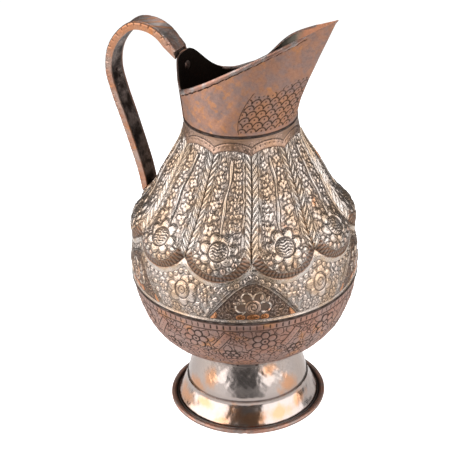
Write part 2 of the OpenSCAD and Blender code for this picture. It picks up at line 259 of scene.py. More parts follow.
class Chasing:
    """The worked face of a sheet, as arrays of rows and columns. height is in millimetres over the
    ground. The first mark is high on rubbed high places and low where painted shade goes: on the shoulder a
    low first mark paints shade on the sunk ground and at the feet of raised forms, mixed with grime. cut
    marks engraved lines and warm marks bare copper."""

    def __init__(self, turn, rise, radius, seed):
        self.turn = np.broadcast_to(turn, radius.shape)
        self.rise = np.broadcast_to(rise, radius.shape)
        self.radius = radius
        self.height = np.zeros(radius.shape)
        self.rubbed_and_unshaded = np.zeros(radius.shape)
        self.cut = np.zeros(radius.shape)
        self.warm = np.zeros(radius.shape)
        self.rng = np.random.default_rng(seed)

    def around(self, turn, rise, wide, low, high):
        """The points near a place, and how far each is across and above it."""
        across = np.radians((self.turn - turn + 180) % 360 - 180) * self.radius
        up = self.rise - rise
        near = np.nonzero((np.abs(across) < wide) & (up > -low) & (up < high))
        return near, across[near], up[near]

    def ground(self, near, height, rubbed_and_unshaded, cut, warm):
        self.height[near] = height
        self.rubbed_and_unshaded[near] = rubbed_and_unshaded
        self.cut[near] = cut
        self.warm[near] = warm

    def raised(self, near, inside, height=0.6, soft=1.2, line=0.55, rubbed_and_unshaded=1.0, warm=0.0):
        """Raises a form with a rounded edge and a dark line round it."""
        swell = np.clip(inside / soft, 0, 1)
        swell = swell * (2 - swell)
        over = inside > 0
        rim = np.clip(1 - np.abs(inside + 0.12) / line, 0, 1)
        self.height[near] = np.where(over, height * swell, self.height[near] * (1 - rim))
        # Painted shade: the form is brightest on its crown and darker down its rounded edge, and the ground
        # along its dark line is darkened too.
        self.rubbed_and_unshaded[near] = np.where(over, rubbed_and_unshaded * (0.3 + 0.7 * swell), self.rubbed_and_unshaded[near] * (1 - rim))
        self.cut[near] = np.where(over, rim, np.maximum(self.cut[near], rim))
        self.warm[near] = np.where(over, warm, self.warm[near])

    def engraved(self, near, away, width=0.45, depth=0.3):
        """Cuts a line that is `width` to each side of its middle."""
        line = np.clip(1 - (away / width) ** 2, 0, 1)
        self.height[near] -= depth * line
        # Painted shade down in the cut, on top of the grime of the cut mark.
        self.rubbed_and_unshaded[near] *= 1 - 0.8 * line
        self.cut[near] = np.maximum(self.cut[near], line)

    def stippled(self, near, height, cut):
        """Roughens a ground with punch marks."""
        field = self.rng.random(self.height.shape)
        field = (field + np.roll(field, 1, 0) + np.roll(field, 1, 1) + np.roll(field, (1, 1), (0, 1))) / 4
        marks = np.clip((field[near] - 0.3) * 2.5, 0, 1)
        self.height[near] -= height * marks
        self.cut[near] = np.clip(self.cut[near] + cut * (marks - 0.4), 0, 1)

    def marks(self, dirt=1.0):
        """The marks for the metal. dirt over 1 fills the cuts and the ground darker."""
        cut = np.clip(self.cut * dirt, 0, 1)
        return np.stack([self.rubbed_and_unshaded, cut, self.warm, np.zeros(cut.shape)], -1)


# ---- meshes ----


def use(piece):
    """Makes a piece the only selected one."""
    bpy.ops.object.select_all(action="DESELECT")
    piece.select_set(True)
    bpy.context.view_layer.objects.active = piece


def close_up(piece, smooth_angle=50):
    """Merges the seams of a wrapped sheet, caps its ends and turns its faces outwards."""
    use(piece)
    bpy.ops.object.mode_set(mode="EDIT")
    bpy.ops.mesh.select_all(action="SELECT")
    bpy.ops.mesh.remove_doubles(threshold=0.002 * MM)
    bpy.ops.mesh.select_all(action="SELECT")
    bpy.ops.mesh.fill_holes(sides=0)
    bpy.ops.mesh.select_all(action="SELECT")
    bpy.ops.mesh.normals_make_consistent(inside=False)
    bpy.ops.object.mode_set(mode="OBJECT")
    bpy.ops.object.shade_smooth_by_angle(angle=math.radians(smooth_angle))


def wrap_sheet(name, points, marks=None, smooth_angle=50):
    """Wraps a grid of sheet on rows and columns of points in millimetres, and closes it up."""
    rows, columns = points.shape[0] - 1, points.shape[1] - 1
    bpy.ops.object.select_all(action="DESELECT")
    bpy.ops.mesh.primitive_grid_add(x_subdivisions=columns, y_subdivisions=rows, size=1)
    piece = bpy.context.active_object
    piece.name = piece.data.name = name
    flat = np.empty(len(piece.data.vertices) * 3, np.float32)
    piece.data.vertices.foreach_get("co", flat)
    flat = flat.reshape(-1, 3)
    column = np.rint((flat[:, 0] + 0.5) * columns).astype(int)
    row = np.rint((flat[:, 1] + 0.5) * rows).astype(int)
    placed = (points[row, column] * MM).astype(np.float32)
    piece.data.vertices.foreach_set("co", placed.ravel())
    if marks is None:
        marks = np.zeros((*points.shape[:2], 4))
    layer = piece.data.attributes.new(MARKS, "FLOAT_COLOR", "POINT")
    layer.data.foreach_set("color", marks[row, column].astype(np.float32).ravel())
    piece.data.update()
    close_up(piece, smooth_angle)
    return piece


def round_wall(outer, inner):
    """Rows that run up the outer face, down the inner one and back to the start."""
    return np.concatenate([outer, inner[::-1], outer[:1]])


def painted_inside_marks(inner):
    """The marks of an inner face, which is not chased: the fourth mark calls for the painted shade of the
    inside.
    """
    marks = np.zeros((*inner.shape[:2], 4))
    marks[..., 3] = 1
    return marks


def turned_points(profile, turns, lift=None):
    """Rows and columns of points of a profile of (radius, height) turned about the axis."""
    radius = np.repeat(profile[:, :1], len(turns), 1)
    z = np.repeat(profile[:, 1:], len(turns), 1)
    if lift is not None:
        side = outward(profile)
        radius = radius + lift * side[:, :1]
        z = z + lift * side[:, 1:]
    a = np.radians(turns)[None, :]
    return np.stack([radius * np.cos(a), radius * np.sin(a), z], -1)


def turned_wall(name, profile, columns, lift, marks, thickness=SHEET, inner_rows=9):
    """A round wall of sheet whose outer face carries `lift` and `marks`."""
    turns = np.linspace(0, 360, columns + 1)
    inside = profile - thickness * outward(profile)
    inside = inside[np.linspace(0, len(profile) - 1, inner_rows).astype(int)]
    inside[:, 1] = np.maximum(inside[:, 1], profile[0, 1])
    outer = turned_points(profile, turns, lift)
    inner = turned_points(inside, turns)
    bare = painted_inside_marks(inner)
    return wrap_sheet(name, round_wall(outer, inner), round_wall(marks, bare))


def ring_noise(turns, rises, pitch, seed, octaves=3):
    """Gentle dents that join up round the jug, about -1 to 1, on rows of heights and columns of turns."""
    rng = np.random.default_rng(seed)
    total = np.zeros((len(rises), len(turns)))
    a = np.radians(turns)[None, :]
    z = np.asarray(rises, float)[:, None]
    for octave in range(octaves):
        for _ in range(7):
            waves = max(1, round(2 * math.pi * 50 / pitch * 2**octave * rng.uniform(0.5, 1.1)))
            rate = 2 * math.pi / pitch * 2**octave * rng.uniform(-1, 1)
            total += np.sin(waves * a + rate * z + rng.uniform(0, 2 * math.pi)) * 0.6**octave
    return total / 5.0


def finish_piece(piece, material, slot, *nodes):
    """Gives a piece its material and its place in the frame."""
    piece.data.materials.clear()
    piece.data.materials.append(material)
    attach(piece, "root")
    if nodes:
        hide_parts(*nodes)


# ---- node groups and materials ----


def node(tree, kind, **values):
    """Adds a node. Each value is a setting, a socket's value, or a socket to link from."""
    made = tree.nodes.new(kind)
    for key, value in values.items():
        name = key.replace("_", " ")
        if hasattr(made, key) and key.islower():
            setattr(made, key, value)
        elif isinstance(value, bpy.types.NodeSocket):
            tree.links.new(value, made.inputs[name])
        else:
            made.inputs[name].default_value = value
    return made


def maths(tree, operation, a, b=0.0, clamp=False):
    made = tree.nodes.new("ShaderNodeMath")
    made.operation = operation
    made.use_clamp = clamp
    for socket, value in zip(made.inputs, (a, b)):
        if isinstance(value, bpy.types.NodeSocket):
            tree.links.new(value, socket)
        else:
            socket.default_value = value
    return made.outputs[0]


def blend_colours(tree, factor, a, b, how="MIX"):
    made = tree.nodes.new("ShaderNodeMix")
    made.data_type = "RGBA"
    made.blend_type = how
    for index, value in ((0, factor), (6, a), (7, b)):
        if isinstance(value, bpy.types.NodeSocket):
            tree.links.new(value, made.inputs[index])
        else:
            made.inputs[index].default_value = value
    return made.outputs[2]


def between(tree, value, low, high, to_low=0.0, to_high=1.0):
    made = tree.nodes.new("ShaderNodeMapRange")
    made.interpolation_type = "SMOOTHSTEP"
    for socket, given in zip(made.inputs, (value, low, high, to_low, to_high)):
        if isinstance(given, bpy.types.NodeSocket):
            tree.links.new(given, socket)
        else:
            socket.default_value = given
    return made.outputs[0]


def noise(tree, vector, scale, detail=3.0, roughness=0.55, distortion=0.0):
    return node(tree, "ShaderNodeTexNoise", Vector=vector, Scale=scale, Detail=detail,
                Roughness=roughness, Distortion=distortion).outputs[0]


def new_group(name, inputs, outputs):
    """An empty node group. inputs and outputs are (name, kind, default) rows."""
    tree = bpy.data.node_groups.new(name, "ShaderNodeTree")
    for label, kind, default in inputs:
        socket = tree.interface.new_socket(label, in_out="INPUT", socket_type=kind)
        if default is not None:
            socket.default_value = default
    for label, kind in outputs:
        tree.interface.new_socket(label, in_out="OUTPUT", socket_type=kind)
    return tree, tree.nodes.new("NodeGroupInput").outputs, tree.nodes.new("NodeGroupOutput").inputs


def worn_tin_group():
    """Tin worn through to copper in patches, with grime in the cuts and painted shade from the Shade input,
    both in the grime colour. Built once and shared.
    """
    name = "Worn tin over copper"
    if name in bpy.data.node_groups:
        return bpy.data.node_groups[name]
    white = (1, 1, 1, 1)
    tree, given, out = new_group(name, [
        ("Vector", "NodeSocketVector", None), ("Tin", "NodeSocketColor", white),
        ("Second Tin", "NodeSocketColor", white), ("Copper", "NodeSocketColor", white),
        ("Grime And Shade", "NodeSocketColor", white), ("Patch Scale", "NodeSocketFloat", 30.0),
        ("Patches", "NodeSocketFloat", 0.4), ("Mottle", "NodeSocketFloat", 0.3),
        ("Shade", "NodeSocketFloat", 0.0), ("Cut", "NodeSocketFloat", 0.0),
        ("Warm", "NodeSocketFloat", 0.0), ("Roughness", "NodeSocketFloat", 0.35)],
        [("Color", "NodeSocketColor"), ("Roughness", "NodeSocketFloat"),
         ("Metallic", "NodeSocketFloat")])
    wear = noise(tree, given["Vector"], given["Patch Scale"], 6.0, 0.62, 0.4)
    edge = maths(tree, "SUBTRACT", 0.78, maths(tree, "MULTIPLY", given["Patches"], 0.5))
    patch = between(tree, wear, maths(tree, "SUBTRACT", edge, 0.07), maths(tree, "ADD", edge, 0.07))
    patch = maths(tree, "MAXIMUM", patch, given["Warm"])
    slow = noise(tree, given["Vector"], maths(tree, "MULTIPLY", given["Patch Scale"], 1.7), 4.0, 0.6)
    tin = blend_colours(tree, between(tree, slow, 0.38, 0.62), given["Tin"], given["Second Tin"])
    metal = blend_colours(tree, patch, tin, given["Copper"])
    fine = noise(tree, given["Vector"], 520.0, 5.0, 0.7)
    dull = maths(tree, "MULTIPLY", between(tree, fine, 0.35, 0.75), given["Mottle"])
    spots = between(tree, noise(tree, given["Vector"], 210.0, 3.0, 0.8), 0.62, 0.72)
    dull = maths(tree, "MAXIMUM", dull, maths(tree, "MULTIPLY", spots, given["Mottle"]))
    # The darkening mixes mottle, grime in the cuts and painted shade: the Shade input is painted shade on
    # the sunk ground, and on the foot the Cut input also carries painted shade.
    dirt = maths(tree, "MAXIMUM", maths(tree, "MAXIMUM", dull, given["Cut"]), given["Shade"])
    dirt = maths(tree, "MINIMUM", dirt, 1.0)
    tree.links.new(blend_colours(tree, dirt, metal, given["Grime And Shade"]), out["Color"])
    rough = maths(tree, "ADD", given["Roughness"], maths(tree, "MULTIPLY", dirt, 0.3))
    rough = maths(tree, "ADD", rough, maths(tree, "MULTIPLY", maths(tree, "SUBTRACT", slow, 0.5), 0.3))
    tree.links.new(rough, out["Roughness"])
    tree.links.new(maths(tree, "SUBTRACT", 1.0, maths(tree, "MULTIPLY", dirt, 0.35)), out["Metallic"])
    return tree


def hammered_group():
    """Height of planishing marks, fine scratches and pits, in millimetres. Built once and shared."""
    name = "Hammered sheet"
    if name in bpy.data.node_groups:
        return bpy.data.node_groups[name]
    tree, given, out = new_group(name, [
        ("Vector", "NodeSocketVector", None), ("Facet Scale", "NodeSocketFloat", 150.0),
        ("Facets", "NodeSocketFloat", 0.5), ("Scratches", "NodeSocketFloat", 0.3),
        ("Pits", "NodeSocketFloat", 0.3)], [("Height", "NodeSocketFloat")])
    facet = node(tree, "ShaderNodeTexVoronoi", Vector=given["Vector"], Scale=given["Facet Scale"],
                 feature="SMOOTH_F1", Smoothness=0.6).outputs["Distance"]
    stretch = node(tree, "ShaderNodeMapping", Vector=given["Vector"], Scale=(900, 900, 60),
                   Rotation=(0.5, 0.3, 0.2)).outputs[0]
    scratch = noise(tree, stretch, 1.0, 2.0, 0.6)
    pits = between(tree, noise(tree, given["Vector"], 900.0, 4.0, 0.7), 0.3, 0.5)
    total = maths(tree, "MULTIPLY", facet, given["Facets"])
    total = maths(tree, "ADD", total, maths(tree, "MULTIPLY", scratch, given["Scratches"]))
    total = maths(tree, "ADD", total, maths(tree, "MULTIPLY", pits, given["Pits"]))
    tree.links.new(total, out["Height"])
    return tree


def metal_material(name, tin, second, copper, patch_scale, patches, mottle, roughness,
                   facets=0.4, scratches=0.3, pits=0.3, shade=None, painted_inside=None, bump=0.25):
    """A worn metal. shade sets how strongly a low first mark gives painted shade on the sunk ground and at
    the feet of raised forms, mixed with grime, and lining gives the inner faces the painted shade of the
    inside.
    """
    material = bpy.data.materials.new(name)
    material.use_nodes = True
    tree = material.node_tree
    tree.nodes.clear()
    place = node(tree, "ShaderNodeTexCoord").outputs["Object"]
    mark = node(tree, "ShaderNodeAttribute", attribute_name=MARKS)
    parts = node(tree, "ShaderNodeSeparateColor", Color=mark.outputs["Color"]).outputs
    ground = 0.0
    if shade is not None:
        # Painted shade, mixed with grime: a low first mark darkens the sunk ground and the feet of raised
        # forms towards the grime colour.
        ground = between(tree, parts["Red"], 0.0, shade, 0.7, 0.0)
    # The second mark is grime in the cuts; on the foot it also carries painted shade in the groove by the
    # roll and under the bowl.
    cut = maths(tree, "MULTIPLY", parts["Green"], 0.93)
    group = tree.nodes.new("ShaderNodeGroup")
    group.node_tree = worn_tin_group()
    settings = {"Vector": place, "Tin": colour(tin), "Second Tin": colour(second),
                "Copper": colour(copper), "Grime And Shade": colour("grime_and_shade"), "Patch Scale": patch_scale,
                "Patches": patches, "Mottle": mottle, "Shade": ground, "Cut": cut,
                "Warm": parts["Blue"], "Roughness": roughness}
    plug(tree, group, settings)
    skin = group.outputs["Color"]
    if painted_inside is not None:
        # The inner faces take the painted shade of the inside.
        skin = blend_colours(tree, mark.outputs["Alpha"], skin, painted_inside(tree, place))
    hammer = tree.nodes.new("ShaderNodeGroup")
    hammer.node_tree = hammered_group()
    plug(tree, hammer, {"Vector": place, "Facets": facets, "Scratches": scratches, "Pits": pits})
    raised = node(tree, "ShaderNodeBump", Strength=1.0, Distance=bump * MM,
                  Height=hammer.outputs["Height"])
    shader = node(tree, "ShaderNodeBsdfPrincipled", Base_Color=skin, Normal=raised.outputs[0],
                  Roughness=group.outputs["Roughness"], Metallic=group.outputs["Metallic"])
    output = tree.nodes.new("ShaderNodeOutputMaterial")
    tree.links.new(shader.outputs[0], output.inputs["Surface"])
    return material


def plug(tree, group, settings):
    """Sets or links a group's inputs by name."""
    for label, value in settings.items():
        if isinstance(value, bpy.types.NodeSocket):
            tree.links.new(value, group.inputs[label])
        else:
            group.inputs[label].default_value = value


def painted_shade_mouth(tree, place):
    """A painted gradient of shade inside the mouth: nearly black at the back, lightening through grey to
    copper towards the tip of the spout.
    """
    x = node(tree, "ShaderNodeSeparateXYZ", Vector=place).outputs["X"]
    wander = maths(tree, "MULTIPLY", maths(tree, "SUBTRACT", noise(tree, place, 45.0, 4.0), 0.5), 0.03)
    reach = maths(tree, "ADD", x, wander)
    grey = blend_colours(tree, between(tree, reach, 0.012, 0.034), (0.020, 0.014, 0.011, 1),
                         (0.30, 0.27, 0.22, 1))
    return blend_colours(tree, between(tree, reach, 0.026, 0.038), grey, (0.62, 0.30, 0.18, 1))


def painted_shade_inside(tree, place):
    # Painted shade on the inner faces: nearly black, a little mottled.
    return blend_colours(tree, between(tree, noise(tree, place, 60.0), 0.4, 0.7),
                         (0.03, 0.022, 0.018, 1), (0.10, 0.075, 0.06, 1))


# The lining entries below give the inner faces painted shade.
MATERIALS = {
    # shade=0.5 gives the shoulder painted shade on its sunk ground, mixed with grime.
    "shoulder_tin": dict(tin="tin", second="gold", copper="copper", patch_scale=38.0, patches=0.2,
                       mottle=0.22, roughness=0.2, shade=0.5, painted_inside=painted_shade_inside, facets=0.2,
                       bump=0.3),
    "bowl_copper": dict(tin="rose", second="brown_tin", copper="amber", patch_scale=40.0,
                        patches=0.36, mottle=0.28, roughness=0.42, painted_inside=painted_shade_inside, facets=0.5),
    "foot_tin": dict(tin="silver", second="ash", copper="amber", patch_scale=17.0, patches=0.3,
                     mottle=0.05, roughness=0.17, painted_inside=painted_shade_inside, facets=0.3, scratches=0.12,
                     pits=0.03, bump=0.16),
    "neck_copper": dict(tin="blush", second="plum", copper="amber", patch_scale=75.0, patches=0.25,
                        mottle=0.18, roughness=0.6, painted_inside=painted_shade_mouth, facets=0.6),
    "rim_copper": dict(tin="rose", second="mauve", copper="copper", patch_scale=60.0, patches=0.2,
                       mottle=0.3, roughness=0.4, facets=0.5),
    "hem_tin": dict(tin="ash", second="rose", copper="copper", patch_scale=70.0, patches=0.1,
                    mottle=0.25, roughness=0.34, facets=0.3),
    "handle_copper": dict(tin="ash", second="rose", copper="copper", patch_scale=45.0, patches=0.3,
                          mottle=0.22, roughness=0.34, facets=0.5),
    "strip_tin": dict(tin="grime_and_shade", second="mauve", copper="mauve", patch_scale=60.0, patches=0.12,
                      mottle=0.6, roughness=0.38, facets=0.6),
    "old_solder": dict(tin="mauve", second="grime_and_shade", copper="silver", patch_scale=120.0, patches=0.2,
                       mottle=0.5, roughness=0.45, facets=0.3, pits=0.8),
}


def metal(name):
    """The named metal, made when it is first asked for."""
    return bpy.data.materials.get(name) or metal_material(name, **MATERIALS[name])


# ---- foot ----


def plain_face(profile, columns, seed, rubbed_and_unshaded=1.0, warm=0.0, dents=None, pitch=14.0):
    """Lift and marks of a plain hammered sheet."""
    turns = np.linspace(0, 360, columns + 1)
    rises = lengths_along(profile)
    lift = -(sizes()["hammering"] if dents is None else dents) * (
        1 + ring_noise(turns, rises, pitch, seed)) * 0.5
    marks = np.zeros((*lift.shape, 4))
    marks[..., 0] = rubbed_and_unshaded
    marks[..., 2] = warm
    return lift, marks


class JUG_OT_foot(bpy.types.Operator):
    """The foot: a rolled rim, a sloping flange and a bell, joined to the bowl with solder"""

    bl_idname = "jug.foot"
    bl_label = "Foot"

    def execute(self, context):
        groove_r = FOOT_R - 3.65
        step_z = bottom_of("foot_bell")
        step_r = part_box("foot_bell")[1].y / MM - 0.9
        self.rolled_rim(groove_r)
        flange = smooth_line([(groove_r + 0.9, 0.9), (groove_r - 0.5, 1.25), (groove_r - 1.5, 2.2),
                              (groove_r - 2.2, 4.2), (groove_r - 3.9, 7.2), (step_r + 3.2, 12),
                              (step_r + 1.1, step_z - 2.2), (step_r + 0.9, step_z)], 64)
        lift, marks = plain_face(flange, 360, seed=3)
        height = flange[:, 1:]
        # Painted shade in the groove at the foot of the flange, by the rolled rim.
        marks[..., 1] = 0.95 * (1 - ramp(height, 1.7, 2.9))
        marks[..., 2] = self.worn_through(height, ((-133, 9, 17, 5), (-104, 13, 9, 3), (-62, 8, 20, 5),
                                                   (-33, 9, 13, 4), (-8, 12, 9, 4), (70, 9, 20, 5)), 6)
        piece = turned_wall("foot_flange_sheet", flange, 360, lift, marks)
        finish_piece(piece, metal("foot_tin"), "worn_tin", "foot_flange")
        bell = smooth_line([(step_r + 0.75, step_z + 0.1), (step_r + 0.7, step_z + 0.7),
                            (step_r - 0.1, step_z + 1.5), (step_r - 0.5, 22.5), (step_r - 2.2, 29),
                            (step_r - 4.6, 36), (36.2, 43), (35.1, 47), (34.2, BOWL_BASE)], 90)
        lift, marks = plain_face(bell, 360, seed=5)
        height = bell[:, 1:]
        line = np.clip(1 - np.abs(height - step_z - 1.1) / 0.5, 0, 1)
        # Darker towards the bowl: painted shadow under the bowl, mixed with the stain of the solder; the
        # line at the step is engraved.
        marks[..., 1] = np.maximum(line, 0.6 * ramp(height, 40.5, 45.5))
        marks[..., 2] = self.worn_through(height, ((-103, 31, 8, 7), (-122, 21, 14, 5), (-18, 25, 10, 7),
                                                   (-37, 40, 9, 4), (60, 30, 16, 8), (150, 26, 12, 7)), 9)
        lift = lift - 0.35 * line
        piece = turned_wall("foot_bell_sheet", bell, 360, lift, marks)
        finish_piece(piece, metal("foot_tin"), "worn_tin", "foot_bell")
        self.solder()
        return {"FINISHED"}

    def worn_through(self, height, places, seed):
        """Where the tin has gone: (turn, height, half width in degrees, half height) of each place."""
        turns = np.linspace(-180, 180, 361)
        ragged = 0.35 * ring_noise(turns, height[:, 0], 16.0, seed, octaves=4)
        bare = np.zeros(ragged.shape)
        for turn, at, wide, high in places:
            off = np.hypot(((turns - turn + 180) % 360 - 180)[None, :] / wide, (height - at) / high)
            bare = np.maximum(bare, 1 - ramp(off + ragged, 0.3, 1.5))
        return 0.8 * np.roll(bare[:, :-1], 180, 1)[:, list(range(360)) + [0]]

    def rolled_rim(self, groove_r):
        """The wire-filled roll that the jug stands on, nicked and a little uneven."""
        turns = np.linspace(0, 360, 481)
        round_about = np.radians(np.linspace(0, 360, 25))
        bead = (FOOT_R - groove_r) / 2 + 0.12
        wobble = ring_noise(turns, [0.0], 40.0, 8)[0]
        nick = np.exp(-(((turns - 296) / 1.6) ** 2)) + 0.6 * np.exp(-(((turns - 290) / 1.2) ** 2))
        radius = (bead - 0.1 - 0.1 * np.abs(wobble) - 0.5 * nick)[None, :]
        middle_r = FOOT_R - bead
        r = middle_r + radius * np.cos(round_about)[:, None]
        z = np.clip(1.75 + radius * 0.98 * np.sin(round_about)[:, None], 0, None)
        a = np.radians(turns)[None, :]
        points = np.stack([r * np.cos(a), r * np.sin(a), z], -1)
        marks = np.zeros((*points.shape[:2], 4))
        # Painted shade on the inner half of the roll, in the groove; the nicks get grime.
        painted_shade_inner_half = np.clip(-np.cos(round_about), 0, 1)[:, None] ** 2
        marks[..., 1] = 0.95 * painted_shade_inner_half + 0.5 * nick[None, :] * np.clip(np.sin(round_about), 0, 1)[:, None]
        piece = wrap_sheet("foot_rolled_rim", points, np.clip(marks, 0, 1))
        finish_piece(piece, metal("rim_copper"), "worn_copper", "foot_rim_bead")

    def solder(self):
        """The fillet between the bell and the bowl, with lumps where the solder ran."""
        profile = smooth_line([(34.9, 45.8), (36.2, 47.4), (38.3, 49.6), (39.2, BOWL_BASE)], 12)
        turns = np.linspace(0, 360, 241)
        lumps = ring_noise(turns, lengths_along(profile), 9.0, 21)
        lift = 0.45 * np.clip(lumps, -0.6, 1) - 0.7
        inside = turned_points(np.array([(33.6, 46.2), (33.6, 50.6)]), turns)
        outer = turned_points(profile, turns, lift)
        piece = wrap_sheet("foot_solder_fillet", round_wall(outer, inside))
        finish_piece(piece, metal("old_solder"), "solder", "foot_solder")
        for index, (turn, z, wide) in enumerate([(-78, 46.2, 2.6), (-73, 45.0, 1.6), (-50, 44.6, 1.5),
                                                 (-84, 45.4, 1.4), (20, 45.5, 1.8), (120, 45.6, 2.2)]):
            spot = (35.4 * math.cos(math.radians(turn)), 35.4 * math.sin(math.radians(turn)), z)
            solder_drop(f"foot_solder_drop_{index}", spot, turn, wide)


def solder_drop(name, spot, turn, wide, thick=0.45):
    """A flat drop of solder on an upright wall that faces `turn`."""
    bpy.ops.object.select_all(action="DESELECT")
    bpy.ops.mesh.primitive_ico_sphere_add(subdivisions=4, radius=MM)
    piece = bpy.context.active_object
    piece.name = piece.data.name = name
    rough = np.random.default_rng(sum(map(ord, name)))
    waves = rough.uniform(-3, 3, (6, 3))
    for vertex in piece.data.vertices:
        unit = np.array(vertex.co) / MM
        bulge = 1 + 0.16 * float(np.sin(waves @ unit * 1.6).sum()) / 2
        vertex.co = Vector(unit * bulge * (thick * 1.6, wide, wide * 0.62) * MM)
    placed = Matrix.Translation(Vector(spot) * MM) @ Matrix.Rotation(math.radians(turn), 4, "Z")
    piece.data.transform(placed)
    use(piece)
    bpy.ops.object.shade_smooth()
    finish_piece(piece, metal("old_solder"), "solder")


# ---- bowl ----


BOWL_OUTLINE = [(40, BOWL_BASE), (48, 53.6), (54, 57), (60, 61.6), (65.5, 67.7), (70, 75), (74, 84.2),
                (77, 95), (BOWL_TOP_R, SEAM_LOW)]


# the turn at which the first gore of the bowl starts, in degrees
BOWL_JOIN = 12.0


def daisy(face, turn, rise, size, turn_in=0.0):
    """A flower of six round petals round a ring, drawn in line."""
    near, x, y = face.around(turn, rise, 8 * size, 8 * size, 8 * size)
    face.raised(near, petals(x, y, 6, 3.7 * size, 1.8 * size, turn_in), 0.4, 1.0, 0.75, 1.0)
    face.raised(near, disc(x, y, 1.75 * size), 0.4, 0.8, 0.75, 1.0)
    face.engraved(near, np.hypot(x, y), 1.1, 0.3)


def sprig(face, turn, rise, hand, size=1.0):
    """A curled stem with leaves, drawn in line."""
    near, x, y = face.around(turn, rise, 11, 9, 11)
    x, y = x * hand / size, y / size
    face.engraved(near, np.abs(np.hypot(x + 1.5, y - 1.5) - 4.6) + 9 * (y < -2.4), 0.42)
    for lean, at_x, at_y, length in ((0.5, 2.6, 0.2, 5.2), (1.4, 1.4, 4.2, 5.0), (2.6, -2.6, 4.6, 4.6),
                                     (-0.9, 1.6, -1.4, 4.8), (3.9, -4.2, -0.4, 4.4)):
        face.raised(near, leaf(x - at_x, y - at_y, length, 2.5, lean), 0.25, 0.9, 0.5, 0.85)
    face.raised(near, disc(x + 1.5, y - 1.5, 1.6), 0.25, 0.8, 0.5, 0.85)
    face.engraved(near, np.hypot(x + 1.5, y - 1.5), 0.45, 0.2)


def wrap_gores(name, points, marks, first, material, slot, node_name):
    """Wraps a round wall as equal gores, so that each can carry fine chasing."""
    columns = points.shape[1] - 1
    per_gore = columns // ARCHES
    for gore in range(ARCHES):
        picked = (np.arange(per_gore + 1) + first + gore * per_gore) % columns
        piece = wrap_sheet(f"{name}_gore_{gore + 1}", points[:, picked], marks[:, picked])
        finish_piece(piece, material, slot, node_name)


class JUG_OT_bowl(bpy.types.Operator):
    """The bowl: the lower half of the body, chased with daisies and sprigs"""

    bl_idname = "jug.bowl"
    bl_label = "Bowl"

    def execute(self, context):
        columns = 1200
        profile = smooth_line(BOWL_OUTLINE, 175)
        turns = np.linspace(0, 360, columns + 1)
        rises = lengths_along(profile)
        radius = np.repeat(profile[:, :1], columns + 1, 1)
        face = Chasing(turns[None, :], rises[:, None], radius, seed=11)
        self.ornament(face, profile, rises)
        lift = face.height * sizes()["engraving"] / 0.3 - 0.6
        lift = lift + 0.25 * ring_noise(turns, rises, 60.0, 12) * ramp(rises, 0, 12)[:, None]
        lift = lift * ramp(rises[-1] - rises, 0, 3)[:, None] * ramp(rises, 0, 3)[:, None]
        inside = (profile - SHEET * outward(profile))[np.linspace(0, len(profile) - 1, 12).astype(int)]
        inner = turned_points(inside, turns)
        bare = painted_inside_marks(inner)
        wrap_gores("bowl", round_wall(turned_points(profile, turns, lift), inner),
                   round_wall(face.marks(1.8), bare), round(columns * BOWL_JOIN / 360),
                   metal("bowl_copper"), "chased_copper", "bowl")
        return {"FINISHED"}

    def ornament(self, face, profile, rises):
        def rise_at(z):
            return float(np.interp(z, profile[:, 1], rises))

        everywhere = np.nonzero(face.rise > -1)
        face.ground(everywhere, 0.0, 0.62, 0.0, 0.0)
        z = np.interp(face.rise[:, 0], rises, profile[:, 1])[:, None] + 0 * face.rise
        field = np.nonzero((z > 61) & (z < 98.6))
        x = np.radians(face.turn[field]) * 69
        y = face.rise[field]
        cell = 2 * math.pi * 69 / 66
        face.raised(field, foliage(x, y, cell, 5), 0.15, 1.4, 0.5, 0.75)
        face.stippled(field, 0.1, 0.25)
        for index in range(LOBES):
            turn = -51.5 + index * LOBE_TURN
            daisy(face, turn + 18, rise_at(76), 0.95, 0.7 * index)
            sprig(face, turn + 7.5, rise_at(76), -1, 0.9)
            sprig(face, turn - 9, rise_at(74), 1, 0.9)
            daisy(face, turn, rise_at(89.0), 1.5, 0.3 * index + 0.5)
            sprig(face, turn + 23, rise_at(91), 1, 0.95)
            near, x, y = face.around(turn + 14, rise_at(89.5), 9, 9, 9)
            across, along = x * 0.82 - y * 0.57, x * 0.57 + y * 0.82
            ribbon = np.minimum(2.6 - np.abs(across), 8.5 - np.abs(along))
            face.raised(near, ribbon, 0.3, 0.9, 0.5, 0.9)
            face.engraved(near, np.hypot(across, (along + 1.6) % 3.2 - 1.6) + 9 * (ribbon < 0.6), 0.5, 0.25)
        lines = np.nonzero(z > 96)
        zl = z[lines]
        band = np.nonzero(z > 99.2)
        face.ground(band, 0.0, 0.7, 0.0, 0.0)
        face.engraved(lines, np.abs(zl - 99.3), 0.5, 0.3)
        face.engraved(lines, np.abs(zl - 105.0), 0.5, 0.3)
        tick = repeat_away(np.radians(face.turn[lines]) * 78, 2 * math.pi * 78 / 110)
        face.engraved(lines, tick + 9 * ((zl < 100.2) | (zl > 104)), 0.6, 0.16)
        low = np.nonzero((z > 57) & (z < 62.5))
        zb = z[low]
        chain = 60 + 0.9 * np.sin(np.radians(face.turn[low]) * 72)
        face.ground(low, 0.0, 0.6, 0.0, 0.0)
        face.engraved(low, np.abs(zb - chain), 0.4, 0.2)
        face.engraved(low, np.abs(zb - 58.2), 0.4, 0.2)


